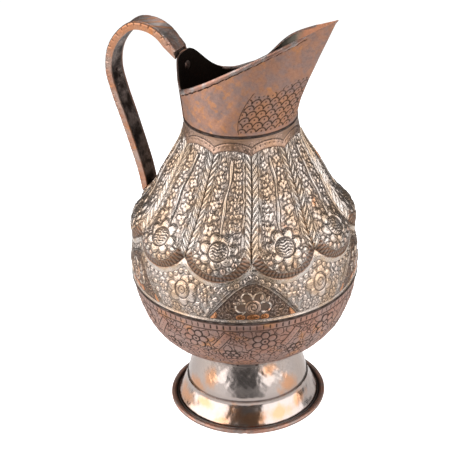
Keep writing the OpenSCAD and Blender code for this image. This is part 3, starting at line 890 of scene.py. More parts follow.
class JUG_OT_belly_seam(bpy.types.Operator):
    """The brazed seam between the bowl and the shoulder"""

    bl_idname = "jug.belly_seam"
    bl_label = "Belly seam"

    def execute(self, context):
        middle = (SEAM_LOW + SEAM_HIGH) / 2
        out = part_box("belly_seam")[1].y / MM
        profile = smooth_line([(out - 0.6, SEAM_LOW + 0.02), (out - 0.35, SEAM_LOW + 0.25),
                               (out - 0.05, middle), (out - 0.3, SEAM_HIGH - 0.25),
                               (out - 0.6, SEAM_HIGH - 0.02)], 9)
        turns = np.linspace(0, 360, 481)
        lift = -0.2 * (1 + ring_noise(turns, lengths_along(profile), 8.0, 31)) * 0.5
        marks = np.zeros((*lift.shape, 4))
        marks[..., 0] = 0.8
        marks[..., 1] = 0.5
        marks[:2, :, 1] = marks[-2:, :, 1] = 1
        inner = turned_points(np.array([(out - 1.5, SEAM_LOW + 0.02), (out - 1.5, SEAM_HIGH - 0.02)]), turns)
        outer = turned_points(profile, turns, lift)
        bare = np.zeros((*inner.shape[:2], 4))
        piece = wrap_sheet("belly_seam_braze", round_wall(outer, inner), round_wall(marks, bare))
        finish_piece(piece, metal("old_solder"), "solder", "belly_seam")
        return {"FINISHED"}


# ---- shoulder ----


VALLEY = [(BOWL_TOP_R, SEAM_HIGH), (BELLY_R - 0.2, 112), (BELLY_R, 119), (BELLY_R - 0.9, 127),
          (BELLY_R - 3, 135), (74.6, 142), (71.6, 151), (66.4, 158), (62, 165), (58.3, 172),
          (53.9, 181), (48.2, 192), (42.4, 204), (39.6, 213), (NECK_R + 0.1, COLLAR_TOP)]
FLOWER_Z = 156.0
LOBE_END_R = 16.6
BORDER_R = 27.0
BORDER_RISE = 5.0
COLLAR_Z = 213.0
# how far the chasing leans round the jug, in degrees at each height
LEAN = ([106, 150, 160, 178, 204, 222], [-3.2, -3.2, -2.8, -0.8, 1.6, 3.0])


def band_width(up):
    """Half the width of the band of blades in a valley, at a height over the flowers."""
    return 4.9 + 0.6 * np.clip(1 - up / 50, 0, 1)


class Shoulder:
    """The shoulder's form and ornament, worked all round at once."""

    def __init__(self, columns, rows):
        self.profile = smooth_line(VALLEY, rows + 1)
        self.rises = lengths_along(self.profile)
        self.turns = np.linspace(0, 360, columns + 1)
        radius = np.repeat(self.profile[:, :1], columns + 1, 1)
        self.lean = np.interp(self.profile[:, 1], *LEAN)[:, None]
        self.face = Chasing(self.turns[None, :], self.rises[:, None], radius, seed=7)
        self.z = np.repeat(self.profile[:, 1:], columns + 1, 1)
        self.swell = np.zeros(radius.shape)

    def rise_at(self, z):
        return np.interp(z, self.profile[:, 1], self.rises)

    def work(self):
        self.frieze()
        for index in range(LOBES):
            self.lobe(index * LOBE_TURN, index)
        self.collar()

    # the frieze between the belly seam and the lobes

    def frieze(self):
        face = self.face
        low = np.nonzero(self.z < 165)
        face.ground(low, 0.1, 0.25, 0.15, 0.0)
        x = np.radians(face.turn[low]) * BELLY_R
        cell = 2 * math.pi * BELLY_R / 100
        face.raised(low, foliage(x, face.rise[low], cell, 2), 0.5, 1.5, 0.42, 0.7, 0.12)
        face.stippled(low, 0.2, 0.4)
        for index in range(ARCHES):
            turn = FIRST_ARCH + index * ARCH_TURN
            self.medallion(turn + ARCH_TURN / 2)
            for side in (-1, 1):
                self.side_blossoms(turn, side)
            self.bracket(turn)
            self.rosette(turn)
        near = np.nonzero(self.z < SEAM_HIGH + 2.6)
        up = self.z[near] - SEAM_HIGH
        face.ground(near, 0.35, 0.55, 0.0, 0.1)
        face.engraved(near, np.abs(up - 2.3), 0.45, 0.3)
        face.engraved(near, np.abs(up - 0.2), 0.5, 0.3)

    def bracket(self, turn):
        """Two raised lines that sweep from the valley down to the belly on both sides."""
        face = self.face
        near, x, y = face.around(turn, self.rise_at(119), 40, 16, 34)
        half = np.abs(x) / BELLY_R * 180 / math.pi
        path = self.rise_at(136.5 - 30.5 * (half / 24) ** 1.7) - self.rise_at(119)
        away = (y - path) * (0.96 - 0.3 * np.clip(half / 14, 0, 1))
        inside_arch = (away < -1.6) & (y > -13)
        picked = tuple(axis[inside_arch] for axis in near)
        xs, ys = x[inside_arch], y[inside_arch]
        face.ground(picked, 0.0, 0.05, 0.66, 0.45)
        face.raised(picked, 0.35 - np.abs(foliage(xs, ys, 4.8, 9) - 0.4), 0.4, 0.35, 0.5, 0.35, 0.3)
        face.stippled(picked, 0.15, 0.4)
        reach = 36 - np.abs(x)
        for offset in (-1.0, 1.0):
            form = np.minimum(0.42 - np.abs(away - offset), reach)
            face.raised(near, form, 0.8, 0.42, 0.55, 1.0, 0.05)
        hook = np.where(np.abs(x) < 5, 0.4 - np.abs(y - 23 - 0.25 * x * np.sign(x) * 2), -9)
        face.raised(near, hook, 0.7, 0.4, 0.5, 1.0)
        for side in (-1, 1):
            foot = leaf(x - side * 25, y + 4.5, 11, 6, -side * 0.9 + (side < 0) * math.pi)
            face.raised(near, np.minimum(foot, np.abs(away) - 1.6), 0.55, 1.2, 0.5, 0.8, 0.9)

    def rosette(self, turn):
        """A five-petalled outline round a spiral, over flat leaves of bare copper."""
        face = self.face
        near, x, y = face.around(turn, self.rise_at(118.5), 16, 15, 14)
        outline = petals(x, y, 6, 7.6, 3.9, 0.0)
        face.ground(tuple(axis[outline > 0] for axis in near), 0.0, 0.12, 0.6, 0.4)
        face.raised(near, 0.6 - np.abs(outline - 0.3), 0.8, 0.6, 0.4, 1.0, 0.0)
        face.raised(near, disc(x, y, 5.6), 0.5, 1.4, 0.6, 0.55, 0.4)
        face.engraved(near, spiral_away(x, y, 2.7, 1.9), 0.6, 0.45)
        for at_x, wide in ((-8.6, 6.0), (-0.2, 8.2), (7.6, 5.4)):
            face.raised(near, oval(x - at_x, y + 7.6, wide * 0.56, 2.3), 0.4, 0.8, 0.5, 0.9, 1.0)
        for lean, away in ((0.55, 10.0), (math.pi - 0.55, 10.0), (2.25, 9.0), (0.9, 9.0)):
            at_x, at_y = away * math.cos(lean), away * math.sin(lean) * 0.8 - 1
            face.raised(near, leaf(x - at_x, y - at_y, 5.5, 2.8, lean + 0.5), 0.5, 0.9, 0.5, 0.8, 0.2)

    def medallion(self, turn):
        """A flower with an oval bud for its middle."""
        face = self.face
        near, x, y = face.around(turn, self.rise_at(126.5), 15, 15, 13)
        face.raised(near, petals(x, y, 7, 7.6, 3.6, 0.35), 0.7, 2.0, 0.5, 1.0, 0.1)
        face.raised(near, oval(x, y, 5.4, 6.4), 0.9, 2.2, 0.6, 1.0, 0.12)
        face.engraved(near, np.abs(np.hypot(x, y * 0.9) - 2.4), 0.42, 0.35)
        face.engraved(near, np.hypot(x, y), 0.7, 0.25)

    def side_blossoms(self, turn, side):
        """The little flowers and leaves that fill the frieze beside a bracket."""
        face = self.face
        for away, z, size in ((19.5, 133.5, 1.0), (24.5, 124, 0.9), (27.5, 113.5, 0.95), (32.5, 112, 0.8),
                              (15.0, 139.5, 0.8), (23.0, 138.5, 0.7)):
            near, x, y = face.around(turn + side * away, self.rise_at(z), 6, 6, 6)
            face.raised(near, petals(x, y, 5, 2.5 * size, 1.5 * size, away), 0.5, 1.0, 0.5, 0.95, 0.15)
            face.raised(near, disc(x, y, 1.3 * size), 0.55, 0.8, 0.45, 1.0, 0.1)
            face.engraved(near, np.hypot(x, y), 0.5, 0.2)

    # one lobe, with its border, its flower, its stem and half of the valleys beside it

    def lobe(self, turn, index):
        face = self.face
        across = np.abs((face.turn - turn + 180) % 360 - 180)
        near = np.nonzero((across <= LOBE_TURN / 2 + 1e-6) & (self.z > 128))
        x = np.radians((face.turn[near] - turn + 180) % 360 - 180) * face.radius[near]
        y = face.rise[near] - self.rise_at(FLOWER_Z)
        half = face.radius[near] * math.radians(LOBE_TURN / 2)
        band = band_width(y)
        arc = BORDER_R - np.hypot(x, y - BORDER_RISE)
        sides = half - np.abs(x)
        outer = np.where(y > BORDER_RISE, sides, np.minimum(sides, arc))
        inner = np.where(y > 0, sides - band, LOBE_END_R - np.hypot(x, y))
        blades = (y > -1 - 9 * (1 - sides / band)) & (inner < 0) & (outer >= 0)
        z = self.z[near]
        cap = np.clip(outer / 10, 0, 1)
        swell = (ramp(z, 130, 147) - 0.5 * ramp(z, 153, 172) - 0.5 * ramp(z, 182, COLLAR_Z))
        fillet = 1.3 * np.clip(1 + arc / 5.5, 0, 1) ** 2 * (1 - ramp(y, -16, -9))
        self.swell[near] = sizes()["lobe_swell"] * swell * cap * (2 - cap) + fillet * (1 - cap)
        self.underside(near, x, y, arc)
        self.valley(near, y, sides, inner, blades)
        self.border(near, x, y, outer, inner, blades)
        self.lobe_field(near, x, y, inner, turn, index)

    def underside(self, near, x, y, arc):
        """A smooth hollow under the lobe and a row of small blossoms below it."""
        face = self.face
        below = (arc < 0.2) & (arc > -3.6) & (y < -7)
        face.ground(tuple(axis[below] for axis in near), 0.7, 1.0, 0.0, 0.0)
        ring = BORDER_R + 5.2
        step = math.radians(8.4)
        angle = np.arctan2(x, BORDER_RISE - y)
        reach = BORDER_R - arc
        folded = angle - np.round(angle / step) * step
        px, py = reach * np.cos(folded) - ring, reach * np.sin(folded)
        form = np.where((arc < -3.2) & (np.abs(angle) < 0.8), disc(px, py, 1.9), -9.0)
        face.raised(near, form, 0.5, 1.3, 0.4, 0.7, 0.1)
        face.engraved(near, np.where(form > -1, np.hypot(px, py), 9.0), 0.5, 0.3)

    def valley(self, near, y, sides, inner, blades):
        """Half of a band of leaf blades that meet in a point along the valley."""
        face = self.face
        picked = tuple(axis[blades] for axis in near)
        from_middle, up, edge = sides[blades], y[blades], -inner[blades]
        z = self.z[near][blades]
        # The blades' first mark falls towards the top of the valley, so they darken there.
        fade = 1 - 0.6 * ramp(z, 180, 206)
        face.ground(picked, 0.05, 0.2, 0.35, 0.0)
        pitch = 4.5
        phase = ((up - 1.6 * from_middle) / pitch) % 1
        slanted = (0.5 - np.abs(phase - 0.5)) * pitch * 0.53
        blade = np.minimum(slanted - 0.1, np.minimum(from_middle - 0.2, edge - 0.9))
        face.raised(picked, blade, 0.75, 0.9, 0.3, fade, 0.0)
        ridge = 0.35 - np.abs(edge - 0.35)
        face.raised(picked, ridge, 0.7, 0.4, 0.35, fade)
        face.engraved(picked, from_middle, 0.4, 0.3)

    def border(self, near, x, y, outer, inner, blades):
        """The ticked border round the lobe's swollen end."""
        face = self.face
        inside = (outer > 0) & (inner < 0) & (y <= 0.5) & ~blades
        picked = tuple(axis[inside] for axis in near)
        x, y = x[inside], y[inside]
        warm = 0.45 + 0.3 * np.sin(0.21 * x + 2 * y)
        face.ground(picked, 0.45, 0.5, 0.5, warm)
        angle = np.arctan2(x, BORDER_RISE - y)
        tick = repeat_away(angle * (BORDER_R - 2), 2.5)
        wide, deep = outer[inside], -inner[inside]
        face.engraved(picked, tick + 9 * ((wide < 1.0) | (deep < 0.9)), 0.72, 0.35)
        face.engraved(picked, deep, 0.55, 0.35)
        face.engraved(picked, np.abs(wide - 0.9), 0.4, 0.3)

    def lobe_field(self, near, x, y, inner, turn, index):
        """The ground of the lobe with its flower, stem, blossoms and leaves."""
        face = self.face
        inside = (inner > 0) & (self.z[near] < self.arch(turn)[near[1]])
        picked = tuple(axis[inside] for axis in near)
        x, y, inner = x[inside], y[inside], inner[inside]
        rng = np.random.default_rng(100 + index)
        lean_x, lean_y = rng.uniform(-0.8, 0.8, 2)
        face.ground(picked, 0.12, 0.25, 0.2, 0.12)
        leaves = foliage(x, y, 5.0, 3 + index)
        face.raised(picked, np.minimum(leaves, inner - 0.3), 0.4, 1.2, 0.4, 0.5, 0.1)
        face.stippled(picked, 0.3, 0.6)
        face.raised(picked, 0.4 - np.abs(inner - 0.4), 0.6, 0.4, 0.4, 1.0)
        top = self.rise_at(COLLAR_Z - 5) - self.rise_at(FLOWER_Z)
        for side in (-1, 1):
            for step in range(6):
                at_y = 13 + 8.2 * step + 2.6 * (side > 0)
                if at_y > top - 2:
                    continue
                at_x = side * 0.54 * float(np.interp(at_y, [0, 60], [17.4, 8.0]))
                size = 1.3 - 0.08 * step
                px, py = x - at_x, y - at_y
                count = 3 if (step + index) % 2 else 4
                form = petals(px, py, count, 1.75 * size, 1.6 * size, rng.uniform(0, 6))
                face.raised(picked, np.minimum(form, inner - 0.4), 0.7, 1.2, 0.55, 1.0, 0.08)
                face.engraved(picked, np.hypot(px, py), 0.5, 0.3)
                twig = leaf(px - side * 1.2, py - 2.6, 4.8 * size, 2.8 * size, math.pi / 2 + side * 0.5)
                face.raised(picked, np.minimum(twig, inner - 0.4), 0.6, 1.2, 0.5, 0.95, 0.1)
        bend = 0.8 * np.sin(y / 8.5 + index) + 0.3 * np.sin(y / 3.1)
        stem = 0.9 + 0.25 * np.sin(y / 4.3 + index) - np.abs(x - bend)
        stem = np.minimum(stem, np.minimum(y - 9, top - y))
        face.raised(picked, stem, 0.95, 0.9, 0.7, 1.0, 0.0)
        fx, fy = x - lean_x, y - lean_y
        for step in range(9):
            lean = math.radians(198 + 18 * step)
            at_x, at_y = 11.6 * math.cos(lean), 11.6 * math.sin(lean)
            form = leaf(fx - at_x, fy - at_y, 5.6, 3.4, lean)
            face.raised(picked, np.minimum(form, inner - 0.3), 0.6, 1.1, 0.5, 0.9, 0.3 * (step % 2))
        face.raised(picked, petals(fx, fy, 7, 8.0, 3.7, 0.25 + 0.1 * index), 0.9, 2.2, 0.6, 1.0, 0.06)
        face.raised(picked, disc(fx, fy, 6.2), 1.0, 2.4, 0.7, 1.0, 0.06)
        middle = np.hypot(fx, fy) > 5.3
        face.engraved(picked, repeat_away(fy + 0.6 * np.sin(fx * 1.1 + index), 2.0) + 9 * middle, 0.4, 0.4)
        short = middle | (np.sin(fx * 1.7 + fy * 2.9) < 0.2)
        face.engraved(picked, repeat_away(fx + 0.5 * fy, 2.6) + 9 * short, 0.35, 0.3)

    def arch(self, turn):
        """Height of the line that ends the lobes under the collar, for each column."""
        off = np.radians((self.turns - turn + 180) % 360 - 180) * LOBES / 2
        return COLLAR_Z - 3.6 + 3.8 * np.clip(np.cos(off), 0, 1) ** 0.7

    # the plain copper collar above the lobes

    def collar(self):
        face = self.face
        fold = np.abs(np.cos(np.radians(self.turns) * LOBES / 2)) ** 0.7
        under = (COLLAR_Z - 3.6 + 3.8 * fold)[None, :] + 0 * self.z
        line = (COLLAR_Z + 1.6 + 4.0 * fold)[None, :] + 0 * self.z
        above = np.nonzero(self.z > under)
        face.ground(above, 0.45, 0.72, 0.28, 0.5)
        z, turn = self.z[above], face.turn[above]
        face.engraved(above, np.abs(z - under[above]), 0.6, 0.35)
        face.engraved(above, np.abs(z - line[above]), 0.55, 0.35)
        dot_turn = repeat_away(np.radians(turn) * 39.6, 2 * math.pi * 39.6 / 72)
        face.engraved(above, np.hypot(dot_turn, (z - line[above] + 2.1) * 1.05), 0.62, 0.4)
        face.engraved(above, COLLAR_TOP - z, 0.5, 0.2)

    def outer_points(self):
        """The finished outer face, in millimetres."""
        relief = sizes()["relief"]
        ends = ramp(self.rises, 0, 1.5) * ramp(self.rises[-1] - self.rises, 0, 1.5)
        lift = (self.face.height - 1.0) * relief * ends[:, None]
        lift = np.where(self.z > 128, lift + 0.3 * relief * ends[:, None], np.minimum(lift, 0))
        side = outward(self.profile)
        radius = self.face.radius + self.swell + lift * side[:, :1]
        dents = 0.22 * ring_noise(self.turns, self.rises, 45.0, 17) * ends[:, None]
        radius = np.minimum(radius + dents, BELLY_R - 0.02)
        z = self.z + lift * side[:, 1:]
        a = np.radians(self.turns[None, :] + self.lean)
        return np.stack([radius * np.cos(a), radius * np.sin(a), z], -1)

    def inner_points(self, rows=14):
        """The plain inner face, in millimetres."""
        picked = np.linspace(0, len(self.rises) - 1, rows).astype(int)
        inside = self.profile - SHEET * 1.5 * outward(self.profile)
        radius = inside[picked, :1] + 0.8 * self.swell[picked]
        z = inside[picked, 1:] + 0 * radius
        z[0], z[-1] = SEAM_HIGH, COLLAR_TOP
        a = np.radians(self.turns[None, :] + self.lean[picked])
        return np.stack([radius * np.cos(a), radius * np.sin(a), z], -1)


class JUG_OT_shoulder(bpy.types.Operator):
    """The lobed shoulder, chased and hammered, in five equal gores"""

    bl_idname = "jug.shoulder"
    bl_label = "Shoulder"

    def execute(self, context):
        columns = 1000
        shoulder = Shoulder(columns, 270)
        shoulder.work()
        outer, inner = shoulder.outer_points(), shoulder.inner_points()
        bare = painted_inside_marks(inner)
        wrap_gores("shoulder", round_wall(outer, inner), round_wall(shoulder.face.marks(1.3), bare),
                   round(columns * FIRST_ARCH / 360), metal("shoulder_tin"), "chased_tin", "shoulder")
        return {"FINISHED"}


# ---- neck ----


MOUTH_MID_X = -3.0
MOUTH_BACK_X = -42.5
MOUTH_HALF_W = 36.0
LIP_AT_AXIS_Z = 260.5
LOW_SIDE_DIP = 11.0
HOLLOW_BY_TAB = 3.7
TAB_Z = 260.0
NEAR_CLIMB = (133.0, 159.0)
FAR_CLIMB = (128.0, 172.0)
HEM_H = 3.2
HEM_T = 0.8


def lip_outline(turn):
    """Where the lip is at each angle: x, y and height."""
    m, side = np.abs(turn), np.sign(turn)
    front = m < 90
    share = np.clip(1 - m / 90, 0, 1)
    x = np.where(front, MOUTH_MID_X + (SPOUT_REACH - MOUTH_MID_X) * share,
                 MOUTH_MID_X + (MOUTH_BACK_X - MOUTH_MID_X) * np.sin(np.radians(m - 90)))
    y = side * MOUTH_HALF_W * np.where(front, 1 - share**1.6, np.sin(np.radians(m)))
    slope = (SPOUT_TOP - 0.5 - LIP_AT_AXIS_Z) / SPOUT_REACH
    sag = LOW_SIDE_DIP * np.exp(-(((x + 4) / 19) ** 2)) + HOLLOW_BY_TAB * np.exp(-(((x + 22) / 9) ** 2))
    sag = np.where(turn > 0, sag, 0)
    rise = np.where(turn > 0, ramp(m, *FAR_CLIMB), ramp(m, *NEAR_CLIMB))
    return x, y, (LIP_AT_AXIS_Z + slope * x - sag) * (1 - rise) + TAB_Z * rise


def neck_points(turn, share):
    """Points of the neck's outer face. share is 0 at the seam and 1 at the lip."""
    x, y, top = lip_outline(turn)
    spread = share**1.12
    a = np.radians(turn)
    return np.stack([NECK_R * np.cos(a) * (1 - spread) + x * spread,
                     NECK_R * np.sin(a) * (1 - spread) + y * spread,
                     NECK_BASE + (top - NECK_BASE) * share], -1)


def neck_normals(turn, share):
    """Unit normals of the neck's outer face."""
    small = 0.02
    wide = (turn + 180 + 1.5) % 360 - 180
    narrow = (turn + 180 - 1.5) % 360 - 180
    across = neck_points(wide, share) - neck_points(narrow, share)
    up = neck_points(turn, np.minimum(share + small, 1)) - neck_points(turn, np.maximum(share - small, 0))
    side = np.cross(across, up)
    return side / np.linalg.norm(side, axis=-1, keepdims=True)


class JUG_OT_neck(bpy.types.Operator):
    """The neck and its pouring spout, with the lap of its sheet and a scale pattern at the front"""

    bl_idname = "jug.neck"
    bl_label = "Neck"

    def execute(self, context):
        columns, rows, inner_rows = 560, 130, 26
        turn = (np.linspace(0, 360, columns + 1) + 180) % 360 - 180
        turn[-1] = turn[0] = 0.0
        turn_grid, share = np.meshgrid(turn, np.linspace(0, 1, rows + 1))
        points = neck_points(turn_grid, share)
        normals = neck_normals(turn_grid, share)
        step = np.linalg.norm(np.diff(points, axis=1), axis=2)
        run = np.concatenate([np.zeros((rows + 1, 1)), np.cumsum(step, axis=1)], 1)
        around = np.where(turn_grid < 0, run - run[:, -1:], run)
        face = Chasing(turn_grid, share, np.ones(share.shape), seed=41)
        self.ornament(face, around, points[..., 2], turn_grid)
        rises = NECK_BASE + 40 * share[:, 0]
        dents = 0.3 * ring_noise(np.linspace(0, 360, columns + 1), rises, 34.0, 43)
        edge = ramp(share, 0, 0.04) * ramp(1 - share, 0, 0.04)
        lift = (face.height * sizes()["engraving"] / 0.3 - 0.3 + dents - 0.2) * edge
        outer = points + lift[..., None] * normals
        inner_share = np.linspace(0, 1, inner_rows)
        inner_turn, inner_share = np.meshgrid(turn, inner_share)
        inner = neck_points(inner_turn, inner_share)
        inner = inner - SHEET * neck_normals(inner_turn, inner_share) * [1, 1, 0.4]
        inner[0, :, 2] = NECK_BASE
        bare = painted_inside_marks(inner)
        marks = face.marks(1.7)
        piece = wrap_sheet("neck_spout_sheet", round_wall(outer, inner), round_wall(marks, bare))
        finish_piece(piece, metal("neck_copper"), "worn_copper", "neck")
        self.lap()
        self.seam()
        return {"FINISHED"}

    def ornament(self, face, around, z, turn):
        everywhere = np.nonzero(z > 0)
        ragged = ring_noise(turn[0], np.linspace(0, 60, len(turn)), 11.0, 61, octaves=4)
        bare = ramp(ragged, 0.1, 0.75) * np.exp(-(((turn + 88) / 42) ** 2))
        face.ground(everywhere, 0.0, 0.75, 0.0, 0.0)
        face.warm[:] = 0.75 * bare
        patch_edge = 45.5 - 0.015 * (z - 240) ** 2
        patch_top = 250.5 + 8.5 * (1 - ramp(np.abs(around), 6, 34)) + 0.8 * np.sin(around * 0.9)
        patch = (np.abs(around) < patch_edge) & (z > 225.2) & (z < patch_top)
        picked = np.nonzero(patch)
        x, y = around[picked], z[picked] - 224.6
        pitch, row_h = 6.9, 4.1
        row = np.floor(y / row_h)
        faint = 0.12 * ramp(z[picked], 246, 254)
        for below in (0, 1):
            j = row - below
            shifted = (x + 0.5 * pitch * (j % 2) + 0.5 * pitch) % pitch - 0.5 * pitch
            up = y - j * row_h
            away = np.abs(np.hypot(shifted, up) - 3.35)
            covered = (below == 1) & (self.inside_scale(x, y, row, pitch, row_h))
            face.engraved(picked, away + 9 * covered + faint, 0.5, 0.28)
            dots = np.hypot(shifted, up - 1.1)
            face.engraved(picked, dots + 9 * covered + faint, 0.7, 0.3)
        face.warm[picked] = (0.34 + 0.18 * np.sin(x * 0.35)) * (1 - ramp(z[picked], 244, 252))
        side = np.nonzero((z > 224.5) & (z < 253))
        left_line = np.abs(np.abs(around[side]) - patch_edge[side] - 0.6)
        face.engraved(side, left_line, 0.4, 0.25)
        lip = lip_outline(turn)[2]
        hem_line = np.nonzero((lip - z > HEM_H - 0.5) & (np.abs(turn) > 18) & (lip - z < HEM_H + 2))
        wave = 0.25 * np.sin(around[hem_line] * 0.9) + 0.15 * np.sin(around[hem_line] * 2.3)
        face.engraved(hem_line, np.abs(lip[hem_line] - z[hem_line] - HEM_H - 0.35 - wave), 0.5, 0.3)
        back = np.nonzero(turn < -138)
        face.cut[back] = np.maximum(face.cut[back], 0.85 * ramp(-turn[back], 139, 146))
        base = np.nonzero(z < NECK_BASE + 3)
        face.engraved(base, z[base] - NECK_BASE, 1.0, 0.2)

    def inside_scale(self, x, y, row, pitch, row_h):
        """Whether a point lies under the scale of the row above."""
        shifted = (x + 0.5 * pitch * (row % 2) + 0.5 * pitch) % pitch - 0.5 * pitch
        return np.hypot(shifted, y - row * row_h) < 3.35

    def lap(self):
        """The lap where the two ends of the sheet meet."""
        turn, share = np.meshgrid(np.linspace(-150.5, -144.5, 9), np.linspace(0.01, 0.9, 60))
        base, side = neck_points(turn, share), neck_normals(turn, share)
        ease = np.sin(np.linspace(0, np.pi, 9))[None, :, None] ** 0.4
        outer = base + (0.12 + 0.32 * ease) * side
        inner = base - 0.3 * side
        marks = np.zeros((*outer.shape[:2], 4))
        marks[..., 1] = 0.85 * ramp(share, 0.2, 0.5)
        piece = wrap_sheet("neck_lap", round_wall(outer, inner[[0, 30, -1]]),
                           round_wall(marks, marks[[0, 30, -1]]))
        finish_piece(piece, metal("neck_copper"), "worn_copper", "neck_lap_strip")

    def seam(self):
        """The thin soldered seam at the foot of the neck."""
        low, high = bottom_of("neck_seam"), top_of("neck_seam")
        profile = smooth_line([(NECK_R, low), (NECK_R + 0.35, (low + high) / 2), (NECK_R, high)], 7)
        turns = np.linspace(0, 360, 361)
        lift = -0.2 * (1 + ring_noise(turns, lengths_along(profile), 6.0, 33)) * 0.5
        marks = np.zeros((*lift.shape, 4))
        marks[..., 1] = 0.75
        inner = turned_points(np.array([(NECK_R - 1, low), (NECK_R - 1, high)]), turns)
        piece = wrap_sheet("neck_seam_solder", round_wall(turned_points(profile, turns, lift), inner),
                           round_wall(marks, np.zeros((*inner.shape[:2], 4))))
        finish_piece(piece, metal("old_solder"), "solder", "neck_seam")


class JUG_OT_lip_hem(bpy.types.Operator):
    """The hem folded out along both sides of the lip"""

    bl_idname = "jug.lip_hem"
    bl_label = "Lip hem"

    def execute(self, context):
        for side, name in ((-1, "lip_hem_near"), (1, "lip_hem_far")):
            turn = side * np.linspace(20, 155, 361)
            top = lip_outline(turn)[2]
            wave = 0.22 * np.sin(turn * 0.9) + 0.12 * np.sin(turn * 2.7)
            ends = ramp(np.abs(turn), 20, 27) * (1 - ramp(np.abs(turn), 128, 142))
            height = (HEM_H + wave) * (0.3 + 0.7 * ends)
            rows = []
            for drop, out in ((1.0, 0.02), (0.97, 0.55), (0.85, 0.9), (0.5, 0.95), (0.18, 0.85),
                              (0.03, 0.45), (0.0, -0.2), (0.03, -0.9), (0.2, -1.1), (0.45, -1.15),
                              (0.5, -0.8), (0.6, -0.1)):
                share = 1 - drop * height / (top - NECK_BASE)
                ease = (0.12 + 0.88 * ends)[:, None]
                thick = HEM_T if out > 0 else SHEET
                base = neck_points(turn, share)
                lifted = base + out * thick * ease * neck_normals(turn, np.minimum(share, 0.98))
                lifted[:, 2] = np.where(drop < 0.1, lifted[:, 2] + 0.25 * ends, lifted[:, 2])
                rows.append(lifted)
            rows.append(rows[0])
            marks = np.zeros((len(rows), len(turn), 4))
            marks[0, :, 1] = marks[-1, :, 1] = 0.9
            marks[4:7, :, 0] = 1.0
            piece = wrap_sheet(name, np.array(rows), marks, smooth_angle=70)
            finish_piece(piece, metal("hem_tin"), "worn_tin", "lip_hem")
        return {"FINISHED"}


# ---- handle ----


HANDLE_ROUTE = [(-77.6, 149.6), (-80.8, 166), (-86, 184), (-92, 203), (-98, 221), (-101.8, 238),
                (-99.4, 254), (-91.5, 267), (-79.5, 276.6), (-66, 277.6), (-54.5, 272.6), (-44.8, 261.8)]
HANDLE_TOP_W, HANDLE_FOOT_W, HANDLE_D = 16.0, 14.0, 5.5
FOOT_CUT, TAB_CUT = (0.78, 0.98), (0.12, -1.0)


class HandleLine:
    """The outer face of the handle from the shoulder up, over and down to the tab."""

    def __init__(self, count):
        self.route = smooth_line(HANDLE_ROUTE, count)
        self.run = lengths_along(self.route)
        along = np.gradient(self.route, axis=0)
        along /= np.linalg.norm(along, axis=1)[:, None]
        self.inward = np.stack([along[:, 1], -along[:, 0]], 1)
        blend_in = np.clip(1 - self.run / 9, 0, 1)[:, None]
        blend_out = np.clip(1 - (self.run[-1] - self.run) / 7, 0, 1)[:, None]
        self.inward = (self.inward * (1 - blend_in - blend_out) + np.array(FOOT_CUT) * blend_in
                       + np.array(TAB_CUT) * blend_out)
        share = self.run / self.run[-1]
        self.width = HANDLE_FOOT_W + (HANDLE_TOP_W - HANDLE_FOOT_W) * share

    def points(self, side, depth):
        """A row of points for a section point `side` (millimetres off centre) and `depth` in."""
        at = self.route + depth * self.inward if np.isscalar(depth) else (
            self.route + depth[:, None] * self.inward)
        return np.stack([at[:, 0], side, at[:, 1]], -1)


